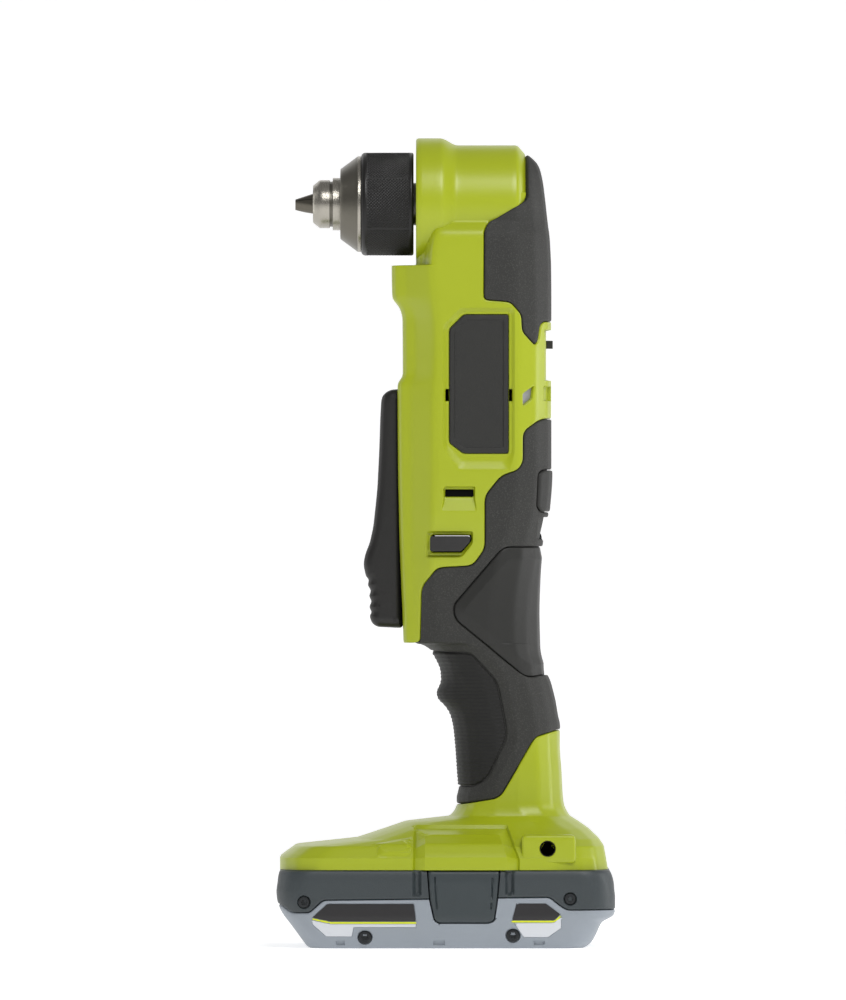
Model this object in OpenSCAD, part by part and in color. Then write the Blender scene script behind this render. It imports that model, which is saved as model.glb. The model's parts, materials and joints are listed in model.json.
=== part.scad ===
// Cordless right angle drill with a slide-out battery pack.
// The origin is the centre of the battery's underside, +Z is up and the chuck points to -X.

/* [Housing] */
// Depth of the motor body, front to back
body_d = 50.4; // [48:0.1:56]
// Width of the motor body
body_w = 45; // [44:0.1:52]
// Motor axis behind the centre of the battery
motor_x = 10.6; // [9:0.1:12]
// Spindle axis above the foot's underside
spindle_rise = 225.6; // [222:0.1:240]
// Wall of the housing halves
wall = 2.4; // [2:0.1:2.6]
// Radius of the head around the spindle
head_r = 20; // [19.8:0.1:22]
// Radius of the boss behind the chuck
boss_r = 22.4; // [21:0.1:25]
// Front face of the boss, ahead of the motor axis
boss_reach = 20.7; // [20:0.1:24]
// Back of the head, behind the motor axis
head_reach = 16.5; // [16:0.1:20]
// Thickness of the rubber overmould
skin_t = 1.3; // [0.8:0.1:1.6]

/* [Battery pack] */
// Length of the battery pack, front to back
battery_l = 114.6; // [110:0.1:124]
// Width of the battery pack
battery_w = 80; // [76:0.5:90]
// Height of the battery pack below the foot
battery_h = 26.5; // [25:0.1:32]
// Wall of the battery case
case_t = 2.2; // [1.6:0.1:2.4]
// Diameter of a cell
cell_d = 18.4; // [18:0.1:18.6]
// Room beside the cells for the walls and latches
cell_side = 7.5; // [7:0.1:9]
// Radius of the stem's round ends
stem_r = 11.6; // [11.2:0.1:11.8]
// Distance between the centres of the stem's round ends
stem_flat = 3; // [2:0.1:4]
// Centre of the stem behind the centre of the battery
stem_x = 20; // [19.6:0.1:20.2]
// Height of the stem above the battery's top
stem_h = 62; // [58:0.5:63]

/* [Chuck] */
// Diameter of the chuck sleeve
sleeve_d = 35; // [34:0.1:40]
// Length of the chuck sleeve
sleeve_l = 17.8; // [17:0.1:20]
// Gap between the chuck sleeve and the head
sleeve_gap = 0.8; // [0.4:0.1:1.5]
// Radius of the jaw shanks
jaw_r = 3.1; // [2.8:0.05:3.3]
// Length of the jaws
jaw_l = 25; // [22:0.1:26]
// Angle of the jaws to the spindle
jaw_tilt = 18; // [16:0.1:18]
// Radius of the spindle's chuck thread
nose_r = 4.76; // [4.2:0.01:5]

/* [Gear train] */
// Module of the bevel gears
bevel_m = 1.1; // [1:0.01:1.14]
// Teeth of the bevel pinion
pinion_n = 11; // [11:1:12]
// Teeth of the crown gear
crown_n = 28; // [27:1:29]
// Module of the planet stage
planet_m = 0.7; // [0.66:0.01:0.7]
// Teeth of the sun gear
sun_n = 12; // [12:6:12]
// Teeth of a planet gear
planet_n = 18; // [18:6:18]
// Face width of the planet gears
planet_l = 10; // [8:0.1:10.4]
// Radius of the planet pins
pin_r = 2; // [1.8:0.05:2.2]

/* [Motor] */
// Outer radius of the motor can
can_r = 18.5; // [17.5:0.1:18.6]
// Length of the motor can
can_l = 42; // [40:0.5:43]
// Sheet of the motor can
can_t = 1.4; // [1:0.1:1.6]
// Thickness of the magnets
magnet_t = 3; // [2.4:0.1:3.2]
// Radius of the rotor shaft in its bearings
shaft_r = 2.5; // [2:0.05:2.6]

/* [Controls] */
// Half width of the paddle trigger
trigger_hw = 9.4; // [8.5:0.1:9.6]
// Height of the paddle trigger
trigger_h = 81.3; // [76:0.1:82]
// Swing of the paddle trigger in degrees
trigger_swing = 4.5; // [3:0.1:4.5]
// Radius of the trigger's hinge pin
hinge_r = 1.5; // [1.2:0.05:1.6]
// Radius of the switch plunger
plunger_r = 3; // [2.5:0.1:3.4]
// Width of the direction selector, front to back
selector_l = 13.6; // [12:0.1:14]
// Height of the direction selector
selector_h = 5.1; // [4:0.1:5.4]
// Radius of the threaded accessory hole
clip_r = 2.5; // [2:0.05:3]

/* [Hidden] */
$fn = 48;

// Clearances and the overrun of every cut
run = 0.02;
fit = 0.2;
slip = 0.3;
over = 1;
big = 200;

// Places along the two axes
foot_z = battery_h;
spindle_z = foot_z + spindle_rise;
body_hw = body_w / 2;
head_front = motor_x - boss_reach;
head_back = motor_x + head_reach;

// A box between two corners
module box(a, b) {
  translate(a) cube(b - a);
}

// A round bar along X at a place in Y and Z
module x_bar(r, x0, x1, z = spindle_z, y = 0) {
  translate([x0, y, z]) rotate([0, 90, 0]) cylinder(r = r, h = x1 - x0);
}

// A round bar along Y at a place in X and Z
module y_bar(r, y0, y1, x, z) {
  translate([x, y1, z]) rotate([90, 0, 0]) cylinder(r = r, h = y1 - y0);
}

// A round bar along Z at a place in X and Y
module z_bar(r, z0, z1, x = motor_x, y = 0) {
  translate([x, y, z0]) cylinder(r = r, h = z1 - z0);
}

// A side outline, in X and Z, carried from y0 to y1
module side(points, y0, y1) {
  translate([0, y1, 0]) rotate([90, 0, 0]) linear_extrude(y1 - y0) polygon(points);
}

// A profile of radius and reach turned about the spindle axis, reach measured along -X from x
module turned(points, x) {
  translate([x, 0, spindle_z]) rotate([0, -90, 0]) rotate_extrude() polygon(points);
}

// The same piece on both sides of the middle plane
module both() {
  children();
  mirror([0, 1, 0]) children();
}

// Half of the plan of the motor body, handle and foot, front to back, as shares of depth and half width
body_shares = [
  [0, 0], [0, 0.51], [0.024, 0.605], [0.083, 0.676], [0.224, 0.978], [0.27, 1],
  [0.77, 1], [0.9, 0.82], [0.976, 0.58], [1, 0.355], [1, 0]
];
handle_shares = [
  [0, 0], [0.02, 0.3], [0.06, 0.52], [0.13, 0.72], [0.25, 0.9], [0.4, 0.99],
  [0.6, 1], [0.78, 0.9], [0.9, 0.68], [0.975, 0.36], [1, 0]
];
foot_shares = [
  [0, 0], [0, 0.6], [0.02, 0.8], [0.055, 0.93], [0.12, 1], [0.4, 1],
  [0.8, 1], [0.91, 0.95], [0.965, 0.84], [1, 0.6], [1, 0]
];

// Stations of the housing: height as a share of the spindle's rise, front and back as shares of the
// body depth from the motor axis, half width as a share of the body's, share of the body plan, share of
// the foot plan, and the way the inner face steps down or up at a shoulder
station_shares = [
  [0, -1.325, 0.881, 1.733, 0, 1, 1],
  [0.018, -1.325, 0.867, 1.733, 0, 1, 1],
  [0.035, -1.22, 0.853, 1.6, 0, 1, 1],
  [0.045, -0.81, 0.821, 1.4, 0, 1, 1],
  [0.06, -0.617, 0.754, 1.15, 0, 0.8, 1],
  [0.0705, -0.488, 0.687, 0.955, 0, 0.6, 1],
  [0.0785, -0.188, 0.629, 0.825, 0, 0.3, 1],
  [0.098, -0.133, 0.585, 0.773, 0, 0, 0],
  [0.147, -0.147, 0.571, 0.764, 0, 0, 0],
  [0.185, -0.159, 0.56, 0.76, 0, 0, 0],
  [0.2135, -0.173, 0.56, 0.764, 0, 0, 0],
  [0.2315, -0.194, 0.544, 0.769, 0, 0, 0],
  [0.243, -0.228, 0.536, 0.773, 0, 0, 0],
  [0.253, -0.272, 0.528, 0.778, 0, 0, 0],
  [0.264, -0.284, 0.516, 0.782, 0, 0, 0],
  [0.283, -0.254, 0.492, 0.791, 0, 0, 0],
  [0.2965, -0.258, 0.462, 0.8, 0, 0, 0],
  [0.314, -0.29, 0.437, 0.818, 0, 0, 0],
  [0.3255, -0.323, 0.425, 0.831, 0, 0, 0],
  [0.3365, -0.381, 0.421, 0.844, 0, 0, -1],
  [0.3385, -0.492, 0.421, 0.849, 0.05, 0, -1],
  [0.385, -0.502, 0.417, 0.88, 0.2, 0, 0],
  [0.432, -0.512, 0.423, 0.907, 0.4, 0, 0],
  [0.4925, -0.522, 0.446, 0.947, 0.75, 0, 0],
  [0.5315, -0.526, 0.48, 0.978, 0.9, 0, 0],
  [0.599, -0.532, 0.5, 1, 1, 0, 0],
  [0.7275, -0.536, 0.5, 1, 1, 0, 0],
  [0.7425, -0.5, 0.5, 1, 1, 0, 0],
  [0.826, -0.502, 0.5, 1, 1, 0, 0],
  [0.8425, -0.52, 0.5, 1, 1, 0, 0],
  [0.86, -0.571, 0.5, 1, 1, 0, 0],
  [0.9065, -0.575, 0.498, 1, 1, 0, 1],
  [0.908, -0.411, 0.498, 1, 1, 0, 1],
  [0.9285, -0.411, 0.494, 1, 1, 0, 1],
  [0.9545, -0.411, 0.486, 0.99, 1, 0, 1],
  [0.9645, -0.4, 0.479, 0.92, 1, 0, 1],
  [0.9755, -0.3, 0.472, 0.85, 1, 0, 1],
  [1.004, -0.21, 0.458, 0.88, 1, 0, 1],
  [1.0345, -0.21, 0.44, 0.81, 1, 0, 1],
  [1.0575, -0.21, 0.411, 0.66, 1, 0, 1],
  [1.074, -0.171, 0.337, 0.48, 1, 0, 1],
  [1.0835, -0.131, 0.274, 0.28, 1, 0, 1]
];
plan_n = len(body_shares);

// Heights between which the front keeps the body's width beside the trigger, as shares of the rise
guard_shares = [0.338, 0.6];

// One point of a station's plan: body, handle and foot shares mixed
function plan_share(i, body, foot) =
  body_shares[i] * body + foot_shares[i] * foot + handle_shares[i] * (1 - body - foot);

// Half of a station's plan, with the front of the body kept whole beside the trigger
function half_plan(s) = [for (i = [0 : plan_n - 1])
  i < plan_n / 2 && s[0] > guard_shares[0] && s[0] < guard_shares[1]
    ? [body_shares[i][0], min(1, body_shares[i][1] / s[3])]
    : plan_share(i, s[4], s[5])];

// The closed ring of points at a station, set in by a depth
function ring_points(s, inset) = let(
  z = foot_z + s[0] * spindle_rise - s[6] * inset,
  x0 = motor_x + s[1] * body_d + inset,
  x1 = motor_x + s[2] * body_d - inset,
  hw = s[3] * body_hw - inset,
  half = half_plan(s)
) concat(
  [for (p = half) [x0 + p[0] * (x1 - x0), -p[1] * hw, z]],
  [for (i = [plan_n - 2 : -1 : 1]) [x0 + half[i][0] * (x1 - x0), half[i][1] * hw, z]]
);

// The solid form of the housing, set in by a depth or set out by a negative one
module form(inset = 0) {
  n = 2 * plan_n - 2;
  m = len(station_shares);
  points = [for (s = station_shares) each ring_points(s, inset)];
  sides = [for (j = [0 : m - 2]) for (i = [0 : n - 1]) let(
      a = j * n + i,
      b = j * n + (i + 1) % n
    ) each [[a, a + n, b], [b, a + n, b + n]]];
  bottom = [for (i = [0 : n - 1]) i];
  top = [for (i = [n - 1 : -1 : 0]) (m - 1) * n + i];
  polyhedron(points, concat(sides, [bottom, top]));
}

// Places in the side view, given as shares of the body depth and of the spindle's rise
function at_x(share) = motor_x + share * body_d;
function at_z(share) = foot_z + share * spindle_rise;
function places(shares) = [for (p = shares) [at_x(p[0]), at_z(p[1])]];

// Outlines of the rubber zones, pads and plates in the side view
upper_skin_shares = [
  [0.335, 1.12], [0.335, 1.006], [0.073, 0.97], [0.048, 0.96], [0.046, 0.8545], [0.224, 0.8515],
  [0.302, 0.833], [0.3075, 0.807], [0.393, 0.786], [0.415, 0.794], [0.429, 0.8165], [0.45, 0.822],
  [0.6, 0.823], [0.6, 1.12]
];
lower_skin_shares = [
  [0.62, 0.676], [0.4345, 0.676], [0.3135, 0.657], [0.3135, 0.611], [0.28, 0.599], [0.163, 0.59],
  [0.0535, 0.56], [0.0535, 0.481], [-0.03, 0.455], [-0.268, 0.452], [-0.377, 0.423], [-0.385, 0.3375],
  [-0.6, 0.336], [-0.6, 0.0965], [-0.125, 0.0965], [0.125, 0.1055], [0.167, 0.1115], [0.373, 0.1905],
  [0.405, 0.1985], [0.5595, 0.209], [0.62, 0.209]
];
palm_shares = [
  [0.177, 0.4835], [-0.153, 0.3975], [-0.159, 0.384], [-0.133, 0.3715], [0.294, 0.294], [0.357, 0.2875],
  [0.46, 0.292], [0.62, 0.292], [0.62, 0.4835]
];
grip_shares = [
  [-0.6, 0.3225], [-0.117, 0.3235], [-0.04, 0.3215], [0.133, 0.281], [0.177, 0.2325], [0.202, 0.1985],
  [0.0635, 0.137], [-0.014, 0.1255], [-0.133, 0.1235], [-0.6, 0.1235]
];
badge_shares = [
  [-0.089, 0.833], [-0.1885, 0.8115], [-0.1885, 0.64], [-0.093, 0.6235], [0.214, 0.6235], [0.214, 0.833]
];
vent_shares = [[0.3115, 0.7135], [0.385, 0.7255], [0.371, 0.7055], [0.3115, 0.6955]];
slot_shares = [[-0.214, 0.5585], [-0.024, 0.5585], [-0.024, 0.5695], [-0.214, 0.5695]];

// Trim set into the housing: depth of the plates, gap under the skins, size of the rear plate
badge_t = 1.2;
skin_gap = 0.05;
rear_badge_hw = 7.6;
rear_badge_shares = [[0.4813, 0.536], [0.5, 0.599]];

// Screws that join the halves, with their bosses
screw_shares = [
  [0.397, 0.8975], [-0.389, 0.884], [-0.0853, 0.339], [-0.647, 0.0208], [0.766, 0.0255]
];
screw_r = 1.5;
screw_head_r = 2.8;
screw_head_t = 2;
screw_boss_r = 3;
screw_depth = 9;
screw_seat = 12;

// Accessory boss on each side of the foot
clip_x_share = 0.472;
clip_z_share = 0.032;
clip_boss = [18.3, 10.2, 9.7];
clip_proud = 38.8;
insert_r = 4;
insert_l = 8;

// Light under the chuck
lens_hw = 7;
lens_h = 5.4;
lens_t = 2.6;
lens_lip = 1;
lens_out = 2;
lens_room = 6.3;
lens_back = 0.5;
lens_x_share = -0.571;
lens_z_share = 0.878;

// Slider at the back
back_x = motor_x + body_d / 2;
slider_hw = 3;
slider_h = 2.7;
slider_plate_h = 6.7;
slider_stem_hw = 1.2;
slider_travel = 8;
slider_z_share = 0.788;
recess_hw = 4;
recess_floor = 1.7;
recess_z_shares = [0.733, 0.81];
slider_proud = 0.6;

// Gear and motor stack, from the spindle axis down
crown_pr = bevel_m * crown_n / 2;
pinion_pr = bevel_m * pinion_n / 2;
pinion_z = spindle_z - crown_pr;
pinion_hub_l = 7.2;
carrier_bearing_l = 7;
carrier_bearing_r = 11;
carrier_shoulder_l = 3.3;
carrier_t = 4;
carrier_gap = 0.8;
ring_t = 3;
bearing_z1 = pinion_z - pinion_hub_l - over;
bearing_z0 = bearing_z1 - carrier_bearing_l;
carrier_z1 = bearing_z0 - carrier_shoulder_l - fit;
carrier_z0 = carrier_z1 - carrier_t;
planet_z1 = carrier_z0 - carrier_gap;
planet_z0 = planet_z1 - planet_l;
ring_z0 = planet_z0 - carrier_gap;
ring_z1 = carrier_z0 + fit;
can_drop = 11;
can_z1 = ring_z0 - can_drop;
can_z0 = can_z1 - can_l;
bracket_h = 7.5;
bracket_z0 = can_z0 - bracket_h;
screw_low_share = 0.385;
screw_places = concat(places(screw_shares), [[at_x(screw_low_share), bracket_z0 - screw_boss_r - slip]]);
ring_n = sun_n + 2 * planet_n;
ring_r = planet_m * ring_n / 2 + ring_t / 2 + planet_m;
neck_r = 14.5;
cover_r = 14;

// Trigger hinge and the slot in front of it
hinge_x_share = -0.46;
hinge_z_share = 0.707;
hinge_x = at_x(hinge_x_share);
hinge_z = at_z(hinge_z_share);
hinge_boss_r = 3.2;
hinge_hl = 12.8;
trigger_gap = 0.7;
trigger_back = 1.6;
slot_back = 3.3;
slot_z_shares = [0.3475, 0.452, 0.7285];
slot_room = 1.4;
slot_back_low = (hinge_z - at_z(slot_z_shares[0])) * tan(trigger_swing) - trigger_back + slot_room;

// Direction selector
selector_x_share = -0.18;
selector_x = at_x(selector_x_share);
selector_drop = 5.2;
selector_z = bracket_z0 - selector_drop;
selector_proud = 2;

// Inner ribs: height, thickness and bore
rib_t = 2.4;
switch_rib_share = 0.343;
switch_rib_z = at_z(switch_rib_share);
board_rib_share = 0.3125;
board_rib_z = at_z(board_rib_share);
seat_drop = 14;
stem_rib_shares = [0.085, 0.178];

// A stem-shaped bar with round ends
module stem_bar(grow, z0, z1) {
  z_bar(stem_r + grow, z0, z1, stem_x - stem_flat / 2);
  z_bar(stem_r + grow, z0, z1, stem_x + stem_flat / 2);
  box([stem_x - stem_flat / 2, -stem_r - grow, z0], [stem_x + stem_flat / 2, stem_r + grow, z1]);
}

// A plate across the whole body at a height
module slab(z, t = rib_t) {
  box([-big, -big, z], [big, big, z + t]);
}

// A plate with a round seat on the motor axis
module seat_rib(z, r) {
  difference() {
    slab(z);
    z_bar(r, z - over, z + rib_t + over);
  }
}

// A plate with a stem-shaped hole
module stem_rib(z) {
  difference() {
    slab(z);
    stem_bar(slip, z - over, z + rib_t + over);
  }
}

// The head's outer form about the spindle: boss, waist, barrel and rear chamfer
boss_shares = [0.22, 0.384];
rear_chamfer = 3;
module head_form() {
  l = head_back - head_front;
  turned([
    [0, 0], [head_r - rear_chamfer, 0], [head_r, rear_chamfer],
    [head_r, l * (1 - boss_shares[1])], [boss_r, l * (1 - boss_shares[0])],
    [boss_r, l - over], [boss_r - over, l], [0, l]
  ], head_back);
}

// Everything solid inside the outer skin: plates, screw bosses, hinge bosses and accessory bosses
module inner_frame() {
  seat_rib(bearing_z0 + over, neck_r + slip);
  seat_rib(ring_z0 + ring_t, ring_r + slip);
  seat_rib(can_z1 - seat_drop, can_r + slip);
  seat_rib(can_z0 + ring_t, can_r + slip);
  seat_rib(bracket_z0 + over, can_r + slip);
  slab(switch_rib_z);
  slab(board_rib_z);
  for (share = stem_rib_shares) stem_rib(at_z(share));
  stem_rib(foot_z);
  for (p = screw_places) y_bar(screw_boss_r, -big, big, p[0], p[1]);
  both() y_bar(hinge_boss_r, trigger_hw + trigger_gap, big, hinge_x, hinge_z);
  both() y_bar(insert_r + wall, clip_proud - insert_l - wall, big, at_x(clip_x_share), at_z(clip_z_share));
}

// The space inside the housing
module inner_space() {
  difference() {
    union() {
      form(wall);
      x_bar(head_r - wall + slip, motor_x - boss_reach / 2, head_back - wall);
    }
    inner_frame();
  }
  x_bar(cover_r + slip, head_front - over, motor_x);
  difference() {
    x_bar(head_r - wall + slip, motor_x - boss_reach / 2, head_back - wall);
    for (p = screw_places) y_bar(screw_boss_r, -big, big, p[0], p[1]);
  }
}

// Openings for the trigger, hinge pin, selector, slider, light, vents and screws
module openings() {
  hw = trigger_hw + trigger_gap;
  low = at_z(slot_z_shares[0]);
  mid = at_z(slot_z_shares[1]);
  high = at_z(slot_z_shares[2]);
  box([-big, -hw, low], [hinge_x + slot_back_low, hw, mid]);
  box([-big, -hw, low], [hinge_x + slot_back, hw, high]);
  y_bar(hinge_r + slip, -hinge_hl - slip, hinge_hl + slip, hinge_x, hinge_z);
  x_bar(spring_r + 2 * spring_wire_r + slip, hinge_x, motor_x, spring_z);
  box([selector_x - selector_l / 2 - slip, -big, selector_z - selector_h / 2 - slip],
      [selector_x + selector_l / 2 + slip, big, selector_z + selector_h / 2 + slip]);
  box([at_x(lens_x_share) - lens_out, -lens_hw - fit, at_z(lens_z_share) - lens_h / 2 - fit],
      [at_x(lens_x_share) + lens_room, lens_hw + fit, at_z(lens_z_share) + lens_h / 2 + fit]);
  box([at_x(lens_x_share) + lens_t - fit, -lens_hw - lens_lip - fit,
      at_z(lens_z_share) - lens_h / 2 - lens_lip - fit],
      [at_x(lens_x_share) + lens_room, lens_hw + lens_lip + fit,
          at_z(lens_z_share) + lens_h / 2 + lens_lip + fit]);
  box([back_x - recess_floor, -recess_hw, at_z(recess_z_shares[0])],
      [big, recess_hw, at_z(recess_z_shares[1])]);
  box([back_x - 2 * wall, -slider_stem_hw - slip, at_z(slider_z_share) - slider_travel - slider_h],
      [back_x, slider_stem_hw + slip, at_z(slider_z_share) + slider_h]);
  box([back_x - 2 * wall, -recess_hw, at_z(slider_z_share) - slider_travel - slider_plate_h],
      [back_x - wall, recess_hw, at_z(slider_z_share) + slider_plate_h]);
  both() side(places(vent_shares), body_hw - wall - over, big);
  both() side(places(slot_shares), body_hw - wall - over, big);
  for (p = screw_places) {
    y_bar(screw_r + fit, -screw_depth - slip, screw_seat, p[0], p[1]);
    y_bar(screw_head_r + slip, screw_seat, big, p[0], p[1]);
  }
  both() y_bar(insert_r + fit, clip_proud - insert_l - fit, big, at_x(clip_x_share), at_z(clip_z_share));
}

// The layer under the outer face that the rubber, pads and rear plate fill
module skin_layer(depth) {
  difference() {
    form();
    form(depth);
  }
}
module rear_badge_zone() {
  z = places(rear_badge_shares);
  box([motor_x, -rear_badge_hw - skin_gap, z[0][1]], [big, rear_badge_hw + skin_gap, z[1][1]]);
}
module trim_recess() {
  difference() {
    union() {
      side(places(upper_skin_shares), -big, big);
      side(places(lower_skin_shares), -big, big);
    }
    form(skin_t + skin_gap);
  }
  both() side(places(badge_shares), body_hw - badge_t - skin_gap, big);
}

// The whole housing before it is parted down the middle
module housing() {
  difference() {
    union() {
      form();
      head_form();
      both() box([at_x(clip_x_share) - clip_boss[0] / 2, clip_proud - clip_boss[1],
          at_z(clip_z_share) - clip_boss[2] / 2],
                 [at_x(clip_x_share) + clip_boss[0] / 2, clip_proud,
                     at_z(clip_z_share) + clip_boss[2] / 2]);
    }
    inner_space();
    trim_recess();
    openings();
  }
}
module left_half() {
  intersection() {
    children();
    box([-big, -big, -big], [big, 0, 2 * big]);
  }
}
module right_half() {
  intersection() {
    children();
    box([-big, 0, -big], [big, big, 2 * big]);
  }
}
module housing_left() {
  color("yellowgreen") left_half() housing();
}
module housing_right() {
  color("yellowgreen") right_half() housing();
}

// Rubber skins, without the places of the pads, insert, rear plate and openings
module overmould() {
  difference() {
    intersection() {
      skin_layer(skin_t);
      union() {
        side(places(upper_skin_shares), -big, big);
        side(places(lower_skin_shares), -big, big);
      }
    }
    side(places(palm_shares), -big, big);
    side(places(grip_shares), -big, big);
    rear_badge_zone();
    openings();
  }
}
module overmould_left() {
  color("dimgray") left_half() overmould();
}
module overmould_right() {
  color("dimgray") right_half() overmould();
}
// A wrap-round piece in the rubber's place, parted down the middle
module wrap(shares) {
  difference() {
    intersection() {
      skin_layer(skin_t);
      side(places(shares), -big, big);
    }
    box([-big, -skin_gap, -big], [big, skin_gap, 2 * big]);
    openings();
  }
}
module palm_pads() {
  color("darkslategray") wrap(palm_shares);
}
module grip_inserts() {
  color("gray") wrap(grip_shares);
}
module side_badges() {
  color("dimgray") both() side(places(badge_shares), body_hw - badge_t, body_hw);
}
module rear_badge() {
  color("dimgray") side(concat(places(rear_badge_shares), [
    for (i = [1, 0]) places(rear_badge_shares)[i] - [skin_t, 0]
  ]), -rear_badge_hw, rear_badge_hw);
}

// Gear case and its front cover
case_r = head_r - wall;
flange_t = 1.8;
cover_x0 = motor_x - boss_reach / 2 + slip;
cover_x1 = cover_x0 + flange_t;
cover_in = 0.5;
cover_front = head_front + cover_in;
case_back = head_back - wall - slip;
front_bearing_r = 12;
front_bearing_l = 7;
bearing_in = 2;
front_bearing_x = head_front + bearing_in;
front_bearing_x1 = front_bearing_x + front_bearing_l;
rear_bearing_r = 8;
rear_bearing_l = 5;
rear_bearing_x = case_back - 2 * wall - rear_bearing_l / 2;
crown_r = crown_pr + bevel_m / 2;
crown_back = 7.6;
crown_hub_r = 9;
crown_hub_l = 5.4;
chamber_room = 0.6;
chamber_back = 1.6;
chamber_r = crown_r + chamber_room;
chamber_x1 = motor_x + chamber_back;
rear_bore_r = 10.5;
pinion_bore_r = 8.2;
skirt_t = 1.5;
module gear_case() {
  color("silver") difference() {
    union() {
      x_bar(case_r, cover_x1, case_back);
      z_bar(neck_r, bearing_z0, spindle_z - case_r - slip);
      intersection() {
        z_bar(neck_r, bearing_z0, spindle_z);
        box([cover_x1, -big, 0], [big, big, 2 * big]);
      }
      z_bar(ring_r, ring_z1, bearing_z0 + fit);
    }
    x_bar(chamber_r, cover_x1 - over, chamber_x1);
    x_bar(rear_bore_r, motor_x, rear_bearing_x);
    x_bar(rear_bearing_r + run, motor_x, rear_bearing_x + rear_bearing_l);
    z_bar(pinion_bore_r, ring_z1 - over, spindle_z);
    z_bar(carrier_bearing_r + run, ring_z1 - over, bearing_z1);
    z_bar(ring_r - skirt_t, ring_z1 - over, carrier_z1 + over);
  }
}
module gear_case_cover() {
  color("silver") difference() {
    union() {
      x_bar(case_r, cover_x0, cover_x1);
      x_bar(cover_r, cover_front, cover_x1);
    }
    x_bar(front_bearing_r + run, cover_front - over, front_bearing_x1);
    x_bar(crown_hub_r, cover_front, cover_x1 + over);
  }
}

// A plain ball bearing ring with a groove on both faces
bearing_groove = 0.5;
shield_depth = 2;
module bearing(r, bore, l) {
  mid = (r + bore) / 2;
  rim = (r - bore) / 5;
  difference() {
    cylinder(r = r, h = l);
    translate([0, 0, -over]) cylinder(r = bore, h = l + 2 * over);
    for (z = [-over, l - bearing_groove]) translate([0, 0, z]) difference() {
      cylinder(r = mid + rim, h = over + bearing_groove);
      translate([0, 0, -over]) cylinder(r = mid - rim, h = over + shield_depth + bearing_groove);
    }
  }
}

// Spindle: threaded nose, collar, bearing seats and the crown gear's seat
collar_r = 7.2;
spindle_r = 6;
tail_r = 4;
chuck_back = head_front - sleeve_gap;
chuck_seat = chuck_back - slip;
nose_l = 7.8;
crown_x = motor_x - crown_back;
screw_hole_r = 2.5;
screw_hole_l = 10;
module spindle() {
  color("gainsboro") difference() {
    union() {
      x_bar(nose_r, chuck_seat - nose_l, front_bearing_x);
      x_bar(collar_r, chuck_seat, front_bearing_x - fit);
      x_bar(spindle_r, chuck_seat, crown_x + crown_hub_l);
      x_bar(collar_r, front_bearing_x1 + fit, crown_x);
      x_bar(tail_r, motor_x - crown_back, rear_bearing_x + rear_bearing_l);
    }
    x_bar(screw_hole_r, chuck_seat - nose_l - over, chuck_seat - nose_l + screw_hole_l);
  }
}
module spindle_bearings() {
  color("gray") {
    translate([front_bearing_x, 0, spindle_z]) rotate([0, 90, 0])
      bearing(front_bearing_r, spindle_r + run, front_bearing_l);
    translate([rear_bearing_x, 0, spindle_z]) rotate([0, 90, 0])
      bearing(rear_bearing_r, tail_r + run, rear_bearing_l);
  }
}
module carrier_bearing() {
  color("gray") translate([motor_x, 0, bearing_z0])
    bearing(carrier_bearing_r, carrier_shaft_r + run, carrier_bearing_l);
}

// Bevel teeth: an outline at a distance from the apex, with straight flanks given as half angles
bevel_pressure = 20;
bevel_thick_share = 0.56;
cone_l = sqrt(crown_pr * crown_pr + pinion_pr * pinion_pr);
bevel_add_a = atan(bevel_m / cone_l);
bevel_ded_share = 1.4;
bevel_ded = bevel_ded_share * bevel_m;
bevel_ded_a = atan(bevel_ded / cone_l);
function polar(r, a) = r * [cos(a), sin(a)];
function flank_a(pitch_a, turn_a, depth) =
  (PI * bevel_m / 4 * bevel_thick_share - depth * tan(bevel_pressure))
    / (cone_l * sin(pitch_a + turn_a)) * 180 / PI;
function bevel_points(n, pitch_a, h) = let(
  tip = flank_a(pitch_a, bevel_add_a, bevel_m),
  root = flank_a(pitch_a, -bevel_ded_a, -bevel_ded),
  r1 = h * tan(pitch_a + bevel_add_a),
  r0 = h * tan(pitch_a - bevel_ded_a)
) [for (i = [0 : n - 1]) let(a = 360 * i / n) each [
    polar(r0, a - root), polar(r1, a - tip), polar(r1, a + tip), polar(r0, a + root)
  ]];
pinion_a = atan(pinion_n / crown_n);
bevel_face = 4.7;

// Crown gear: teeth face the motor axis, with a tooth space at its lowest point
crown_tip = 2.6;
crown_inner_r = 10.7;
crown_web = 5.8;
module crown_gear() {
  half_tooth = 180 / crown_n;
  color("darkgray") difference() {
    union() {
      intersection() {
        translate([crown_x, 0, spindle_z]) rotate([0, 90, 0]) rotate(half_tooth)
          linear_extrude(crown_back - crown_tip, scale = crown_tip / crown_back)
            polygon(bevel_points(crown_n, 90 - pinion_a, crown_back));
        x_bar(crown_r, crown_x, motor_x);
      }
      x_bar(crown_hub_r, crown_x, crown_x + crown_hub_l);
    }
    difference() {
      x_bar(crown_inner_r, motor_x - crown_web, motor_x);
      x_bar(crown_hub_r, crown_x - over, crown_x + crown_hub_l);
    }
    x_bar(crown_hub_r + over, crown_x + crown_hub_l, motor_x + over);
    x_bar(spindle_r + run, crown_x - over, motor_x + over);
  }
}

// Bevel pinion on the carrier's shaft, with a tooth pointing at the crown gear
pinion_shaft_r = 3.4;
pinion_hub_r = 4.6;
pinion_seat = 0.8;
module bevel_pinion() {
  color("darkgray") difference() {
    union() {
      translate([motor_x, 0, pinion_z]) rotate(180)
        linear_extrude(bevel_face, scale = (crown_pr - bevel_face) / crown_pr)
          polygon(bevel_points(pinion_n, pinion_a, crown_pr));
      z_bar(pinion_hub_r, pinion_z - pinion_hub_l, pinion_z);
    }
    z_bar(pinion_shaft_r + run, pinion_z - pinion_hub_l - over, pinion_z + pinion_seat + fit);
  }
}

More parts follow.
